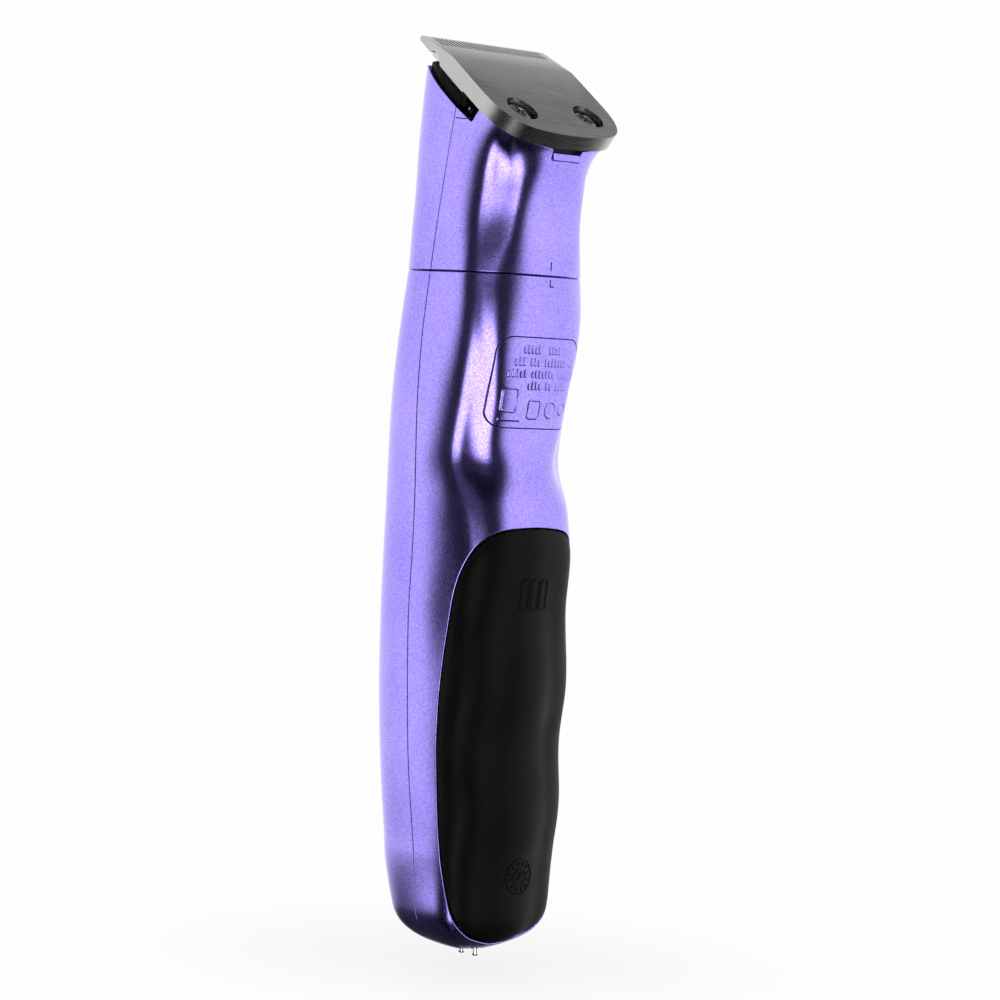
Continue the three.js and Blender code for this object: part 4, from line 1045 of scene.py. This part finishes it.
# bevelled end faces of the rim's step
ends = []
for sg in (1, -1):
    xs = step_x(*yz(10.6, -4.7)) - 0.06
    ends.append(blade_prism(f"step{sg}", [(sg * xs, 10.62), (sg * (xs - 1.15), 9.45), (sg * (xs - 1.5), 9.45), (sg * (xs - 1.5), 11.6), (sg * (xs - 0.25), 11.6)], -6.25, -3.2))
step = joined("rim_step_ends", ends)
bm = bmesh.new()
bm.from_mesh(step.data)
bmesh.ops.recalc_face_normals(bm, faces=bm.faces)
bm.to_mesh(step.data)
bm.free()
soften_edges(step, 0.08)
finish_piece(step, "head", "casing", PURPLE)

# loaded spring: one wire bent round the cutter's guide
wire = [(12.9, 7.5), (8.6, 7.5), (7.5, 7.25), (6.85, 6.5), (6.6, 5.2), (6.6, -2.1), (6.35, -3.0), (5.6, -3.55), (4.6, -3.7), (0, -3.7)]
wire += [(-x, s) for x, s in wire[::-1][1:]]
cu = bpy.data.curves.new("spring_wire", "CURVE")
cu.dimensions = "3D"
cu.bevel_depth = 0.34 * MM
cu.bevel_resolution = 4
cu.use_fill_caps = True
sp = cu.splines.new("POLY")
fine_wire = []
w_ = np.array(wire, float)
dd = np.r_[0, np.cumsum(np.hypot(*np.diff(w_, axis=0).T))]
qq = np.linspace(0, dd[-1], 140)
wx, ws = soften(np.interp(qq, dd, w_[:, 0]), 1.4), soften(np.interp(qq, dd, w_[:, 1]), 1.4)
sp.points.add(len(qq) - 1)
for p, a, b_ in zip(sp.points, wx, ws):
    p.co = (*(blade_point(a, b_, -5.55) * MM), 1)
wire_ob = bpy.data.objects.new("spring_wire", cu)
scene.collection.objects.link(wire_ob)
dg = bpy.context.evaluated_depsgraph_get()
me = bpy.data.meshes.new_from_object(wire_ob.evaluated_get(dg))
bpy.data.objects.remove(wire_ob)
spring = bpy.data.objects.new("spring_wire_mesh", me)
scene.collection.objects.link(spring)
me.polygons.foreach_set("use_smooth", [True] * len(me.polygons))
finish_piece(spring, "head", "bright_steel", CHROME, "tension_spring")


# ------------------------------------------------------------------ foot: pin block and pins
def lathe_z(name, rings, n=48, ex=1.0, ey=1.0, cx=0.0, cy=0.0):
    v, f = [], []
    for r, z in rings[1:-1]:
        for j in range(n):
            a = 2 * math.pi * j / n
            v.append((cx + r * ex * math.cos(a), cy + r * ey * math.sin(a), z))
    c = len(rings) - 2
    v += [(cx, cy, rings[0][1]), (cx, cy, rings[-1][1])]
    for i in range(c - 1):
        for j in range(n):
            l = (j + 1) % n
            f.append([i * n + j, i * n + l, (i + 1) * n + l, (i + 1) * n + j])
    for j in range(n):
        l = (j + 1) % n
        f.append([c * n, l, j])
        f.append([c * n + 1, (c - 1) * n + j, (c - 1) * n + l])
    ob = mesh_object(name, np.array(v), f, None)
    bm = bmesh.new()
    bm.from_mesh(ob.data)
    bmesh.ops.recalc_face_normals(bm, faces=bm.faces)
    bm.to_mesh(ob.data)
    bm.free()
    return ob


block = lathe_z("pin_block_body", [(0, 1.42), (0.55, 1.42), (0.80, 1.46), (0.92, 1.55), (0.97, 1.70), (0.98, 2.0), (0.98, 6.5), (0, 6.5)], 56, 2.05, 3.35)
for y in (-1.75, 1.75):
    boolean(block, lathe_z("h", [(0, 0.5), (0.74, 0.5), (0.74, 5.5), (0, 5.5)], 32, cy=y))
soften_edges(block, 0.08, angle=40, segments=2)
finish_piece(block, "handle", "black_plastic", BLACK, "pin_block")
for nm, y in (("front", -1.75), ("rear", 1.75)):
    pin = lathe_z(f"contact_pin_{nm}", [(0, 0.0), (0.26, 0.005), (0.43, 0.05), (0.54, 0.13), (0.60, 0.26), (0.62, 0.42), (0.62, 1.9), (0.62, 8.4), (0, 8.4)], 40, cy=y)
    soften_edges(pin, 0.04, angle=50, segments=2)
    finish_piece(pin, "handle", "pin_plating", NICKEL, f"charging_pin_{nm}")

# ------------------------------------------------------------------ thumb slide and charge light (front)
def pad_d(P):
    x, z = P[..., 0], P[..., 2]
    return np.where(P[..., 1] < -6, sdf_box(x, z, 0, SW_Z, 5.6, 8.2, 4.2), 9.0)


def pad_height(P, t):
    x, z = P[..., 0], P[..., 2]
    d = -pad_d(P)
    crown = 1.15 + 0.35 * smooth01(d / 3.5) + 0.45 * ((z - SW_Z) / 8.2) ** 2
    ribs = np.zeros_like(z)
    for i in range(-3, 4):
        u = np.abs(z - (SW_Z + i * 1.7))
        ribs = np.maximum(ribs, 0.42 * smooth01((0.62 - u) / 0.42))
    ribs *= smooth01((d - 0.8) / 0.7)
    return crown + ribs


ss = np.arange(s_of(88.0), s_of(106.0), 0.02)
tt = np.arange(-3.2, 3.2, 0.05)
S, T = np.meshgrid(ss, tt, indexing="ij")
pad = patch("thumb_slide", S, T, lambda P, S, T: pad_d(P) + 0.45, Skin(pad_height, 0.01, 0.03), 0.45, 1.3, 4)
finish_piece(pad, "switch", "black_plastic", BLACK_FINE, "switch_button")
stem = prism("slide_stem", [(-17.2, SW_Z - 3.6), (-14.75, SW_Z - 3.6), (-14.75, SW_Z + 3.6), (-17.2, SW_Z + 3.6)], -1.7, 1.7, 0.15)
finish_piece(stem, "switch", "black_plastic", BLACK_FINE)

S, T = np.meshgrid(np.arange(s_of(74.0), s_of(78.0), 0.008), np.arange(-1.2, 1.2, 0.02), indexing="ij")
lens = patch("charge_lens", S, T, lambda P, S, T: np.hypot(P[..., 0], P[..., 2] - 76.0) - 1.36,
             Skin(lambda P, t: -0.30 + 0.32 * np.sqrt(np.clip(1 - (np.hypot(P[..., 0], P[..., 2] - 76.0) / 1.6) ** 2, 0, 1)), 0.006, 0.02), 0.08, 2.4)
finish_piece(lens, "handle", "lens", LENS, "charge_light_lens")

# ------------------------------------------------------------------ carried-over pieces
CARRIED = {
    CARRIER_BLACK_AND_SHADE: ["blade_carrier"],
    BLACK: ["head_socket", "neck_collar", "motor_end_cap"],
    WHITE: ["chassis", "drive_lever", "cutter_guide", "eccentric_cam", "switch_slider"],
    CUTTER: ["cutter_blade"],
    CHROME: ["lever_pivot_pin", "crank_pin", "motor_shaft"],
    NICKEL: ["battery_contact_lower", "battery_contact_upper"],
    ZINC: ["motor_can", "motor_bracket"],
    SCREW: ["motor_screw_left", "motor_screw_right"],
    MAGNET: ["motor_magnet_left", "motor_magnet_right"],
    COPPER: ["armature"],
    BRASS: ["charging_strap_front", "charging_strap_rear", "switch_contact_left", "switch_contact_right"],
    SLEEVE: ["battery_cell"],
    BOARD: ["circuit_board"],
    LED: ["charge_led"],
    SEAL: ["neck_seal"],
}
SOFT = {"blade_carrier": 0.12, "cutter_blade": 0.06, "drive_lever": 0.25, "cutter_guide": 0.2, "chassis": 0.2, "switch_slider": 0.15, "motor_bracket": 0.15, "neck_collar": 0.18, "motor_can": 0.35, "battery_cell": 0.5, "eccentric_cam": 0.2}
for mat, names in CARRIED.items():
    for nme in names:
        ob = NODES[nme]
        ob.data.materials.clear()
        ob.data.materials.append(mat)
        if nme in SOFT:
            soften_edges(ob, SOFT[nme], angle=35, segments=2)
        else:
            ob.data.polygons.foreach_set("use_smooth", [True] * len(ob.data.polygons))
            es = ob.modifiers.new("split", "EDGE_SPLIT")
            es.split_angle = math.radians(32)

# ------------------------------------------------------------------ studio
scene.view_settings.view_transform = "Standard"
scene.view_settings.look = "None"
BACKDROP = 0.985
f0 = Vector((math.sin(BETA), math.cos(BETA), 0))
r0 = Vector((-math.cos(BETA), math.sin(BETA), 0))

fl = bpy.data.meshes.new("floor")
R, n = 12.0, 96
fl.from_pydata([(R * math.cos(2 * math.pi * k / n), R * math.sin(2 * math.pi * k / n), -0.0001) for k in range(n)], [], [list(range(n))])
floor = bpy.data.objects.new("floor", fl)
scene.collection.objects.link(floor)
mat = bpy.data.materials.new("pale_floor")
mat.use_nodes = True
nt = mat.node_tree
nt.nodes.clear()
out = nt.nodes.new("ShaderNodeOutputMaterial")
dif = nt.nodes.new("ShaderNodeBsdfPrincipled")
dif.inputs["Base Color"].default_value = (0.9, 0.9, 0.905, 1)
dif.inputs["Roughness"].default_value = 0.3
dif.inputs["Specular IOR Level"].default_value = 0.2
em = nt.nodes.new("ShaderNodeEmission")
em.inputs[0].default_value = (1, 1, 1, 1)
em.inputs[1].default_value = BACKDROP
geo = nt.nodes.new("ShaderNodeNewGeometry")
ln = nt.nodes.new("ShaderNodeVectorMath")
ln.operation = "LENGTH"
nt.links.new(geo.outputs["Position"], ln.inputs[0])
mr = nt.nodes.new("ShaderNodeMapRange")
mr.interpolation_type = "SMOOTHSTEP"
mr.inputs["From Min"].default_value = 0.004
mr.inputs["From Max"].default_value = 0.07
mr.inputs["To Min"].default_value = 0.86
mr.inputs["To Max"].default_value = 1.0
nt.links.new(ln.outputs["Value"], mr.inputs["Value"])
mx = nt.nodes.new("ShaderNodeMixShader")
nt.links.new(mr.outputs[0], mx.inputs[0])
nt.links.new(dif.outputs[0], mx.inputs[1])
nt.links.new(em.outputs[0], mx.inputs[2])
lp = nt.nodes.new("ShaderNodeLightPath")
mx2 = nt.nodes.new("ShaderNodeMixShader")
tr = nt.nodes.new("ShaderNodeBsdfTransparent")
nt.links.new(lp.outputs["Is Camera Ray"], mx2.inputs[0])
nt.links.new(tr.outputs[0], mx2.inputs[1])
nt.links.new(mx.outputs[0], mx2.inputs[2])
nt.links.new(mx2.outputs[0], out.inputs[0])
fl.materials.append(mat)

world = bpy.data.worlds.new("studio")
scene.world = world
world.use_nodes = True
nt = world.node_tree
nt.nodes.clear()
out = nt.nodes.new("ShaderNodeOutputWorld")
tc = nt.nodes.new("ShaderNodeTexCoord")


def dotn(vec):
    d_ = nt.nodes.new("ShaderNodeVectorMath")
    d_.operation = "DOT_PRODUCT"
    nt.links.new(tc.outputs["Generated"], d_.inputs[0])
    d_.inputs[1].default_value = vec
    return d_.outputs["Value"]


def wmath(op, a, b):
    n_ = nt.nodes.new("ShaderNodeMath")
    n_.operation = op
    for i_, v_ in enumerate((a, b)):
        if isinstance(v_, (int, float)):
            n_.inputs[i_].default_value = v_
        else:
            nt.links.new(v_, n_.inputs[i_])
    return n_.outputs[0]


def wramp(fac, stops, smooth=True):
    r = nt.nodes.new("ShaderNodeValToRGB")
    r.color_ramp.interpolation = "EASE" if smooth else "LINEAR"
    el = r.color_ramp.elements
    while len(el) < len(stops):
        el.new(0.5)
    for e, (p, c) in zip(el, stops):
        e.position = p
        e.color = (c, c, c, 1)
    nt.links.new(fac, r.inputs[0])
    return r.outputs[0]


# angle round the object from the direction it is photographed from, in degrees over 360
turn = wmath("ADD", wmath("MULTIPLY", wmath("ARCTAN2", dotn(r0), dotn(f0)), 1 / (2 * math.pi)), 0.5)
sep = nt.nodes.new("ShaderNodeSeparateXYZ")
nt.links.new(tc.outputs["Generated"], sep.inputs[0])
rise = wmath("ADD", wmath("MULTIPLY", wmath("ARCSINE", sep.outputs["Z"], 0), 1 / math.pi), 0.5)
deg = lambda a: (a + 180) / 360
ele = lambda a: (a + 90) / 180
# broad soft boxes at the sides and behind, a low reflector in front, dark between
left_az = wramp(turn, [(0.0, 0.80), (deg(-112), 0.86), (deg(-77), 1.0), (deg(-57), 0.012), (1.0, 0.012)])
right_az = wramp(turn, [(0.0, 0.012), (deg(46), 0.012), (deg(65), 1.0), (deg(120), 0.86), (deg(179.9), 0.80)])
left_el = wramp(rise, [(0.0, 0.02), (ele(-24), 0.03), (ele(-9), 0.97), (ele(30), 1.0), (ele(41), 0.14), (ele(70), 0.16), (1.0, 0.6)])
right_el = wramp(rise, [(0.0, 0.02), (ele(-36), 0.03), (ele(-18), 0.97), (ele(31), 1.0), (ele(41), 0.14), (ele(70), 0.16), (1.0, 0.6)])
front_az = wramp(turn, [(0.0, 0.0), (deg(-28), 0.0), (deg(-16), 1.0), (deg(8), 1.0), (deg(23), 0.0), (1.0, 0.0)])
front_el = wramp(rise, [(0.0, 0.02), (ele(-48), 0.03), (ele(-28), 1.0), (ele(-12), 1.0), (ele(2), 0.30), (ele(10), 0.03), (1.0, 0.05)])
light = wmath("ADD", wmath("ADD", wmath("MULTIPLY", left_az, left_el), wmath("MULTIPLY", right_az, right_el)), wmath("MULTIPLY", wmath("MULTIPLY", front_az, front_el), 2.1))
bg = nt.nodes.new("ShaderNodeBackground")
bg.inputs["Strength"].default_value = 1.42
nt.links.new(light, bg.inputs["Color"])
bg2 = nt.nodes.new("ShaderNodeBackground")
bg2.inputs["Color"].default_value = (1, 1, 1, 1)
bg2.inputs["Strength"].default_value = BACKDROP
lp = nt.nodes.new("ShaderNodeLightPath")
mx = nt.nodes.new("ShaderNodeMixShader")
nt.links.new(lp.outputs["Is Camera Ray"], mx.inputs[0])
nt.links.new(bg.outputs[0], mx.inputs[1])
nt.links.new(bg2.outputs[0], mx.inputs[2])
nt.links.new(mx.outputs[0], out.inputs[0])
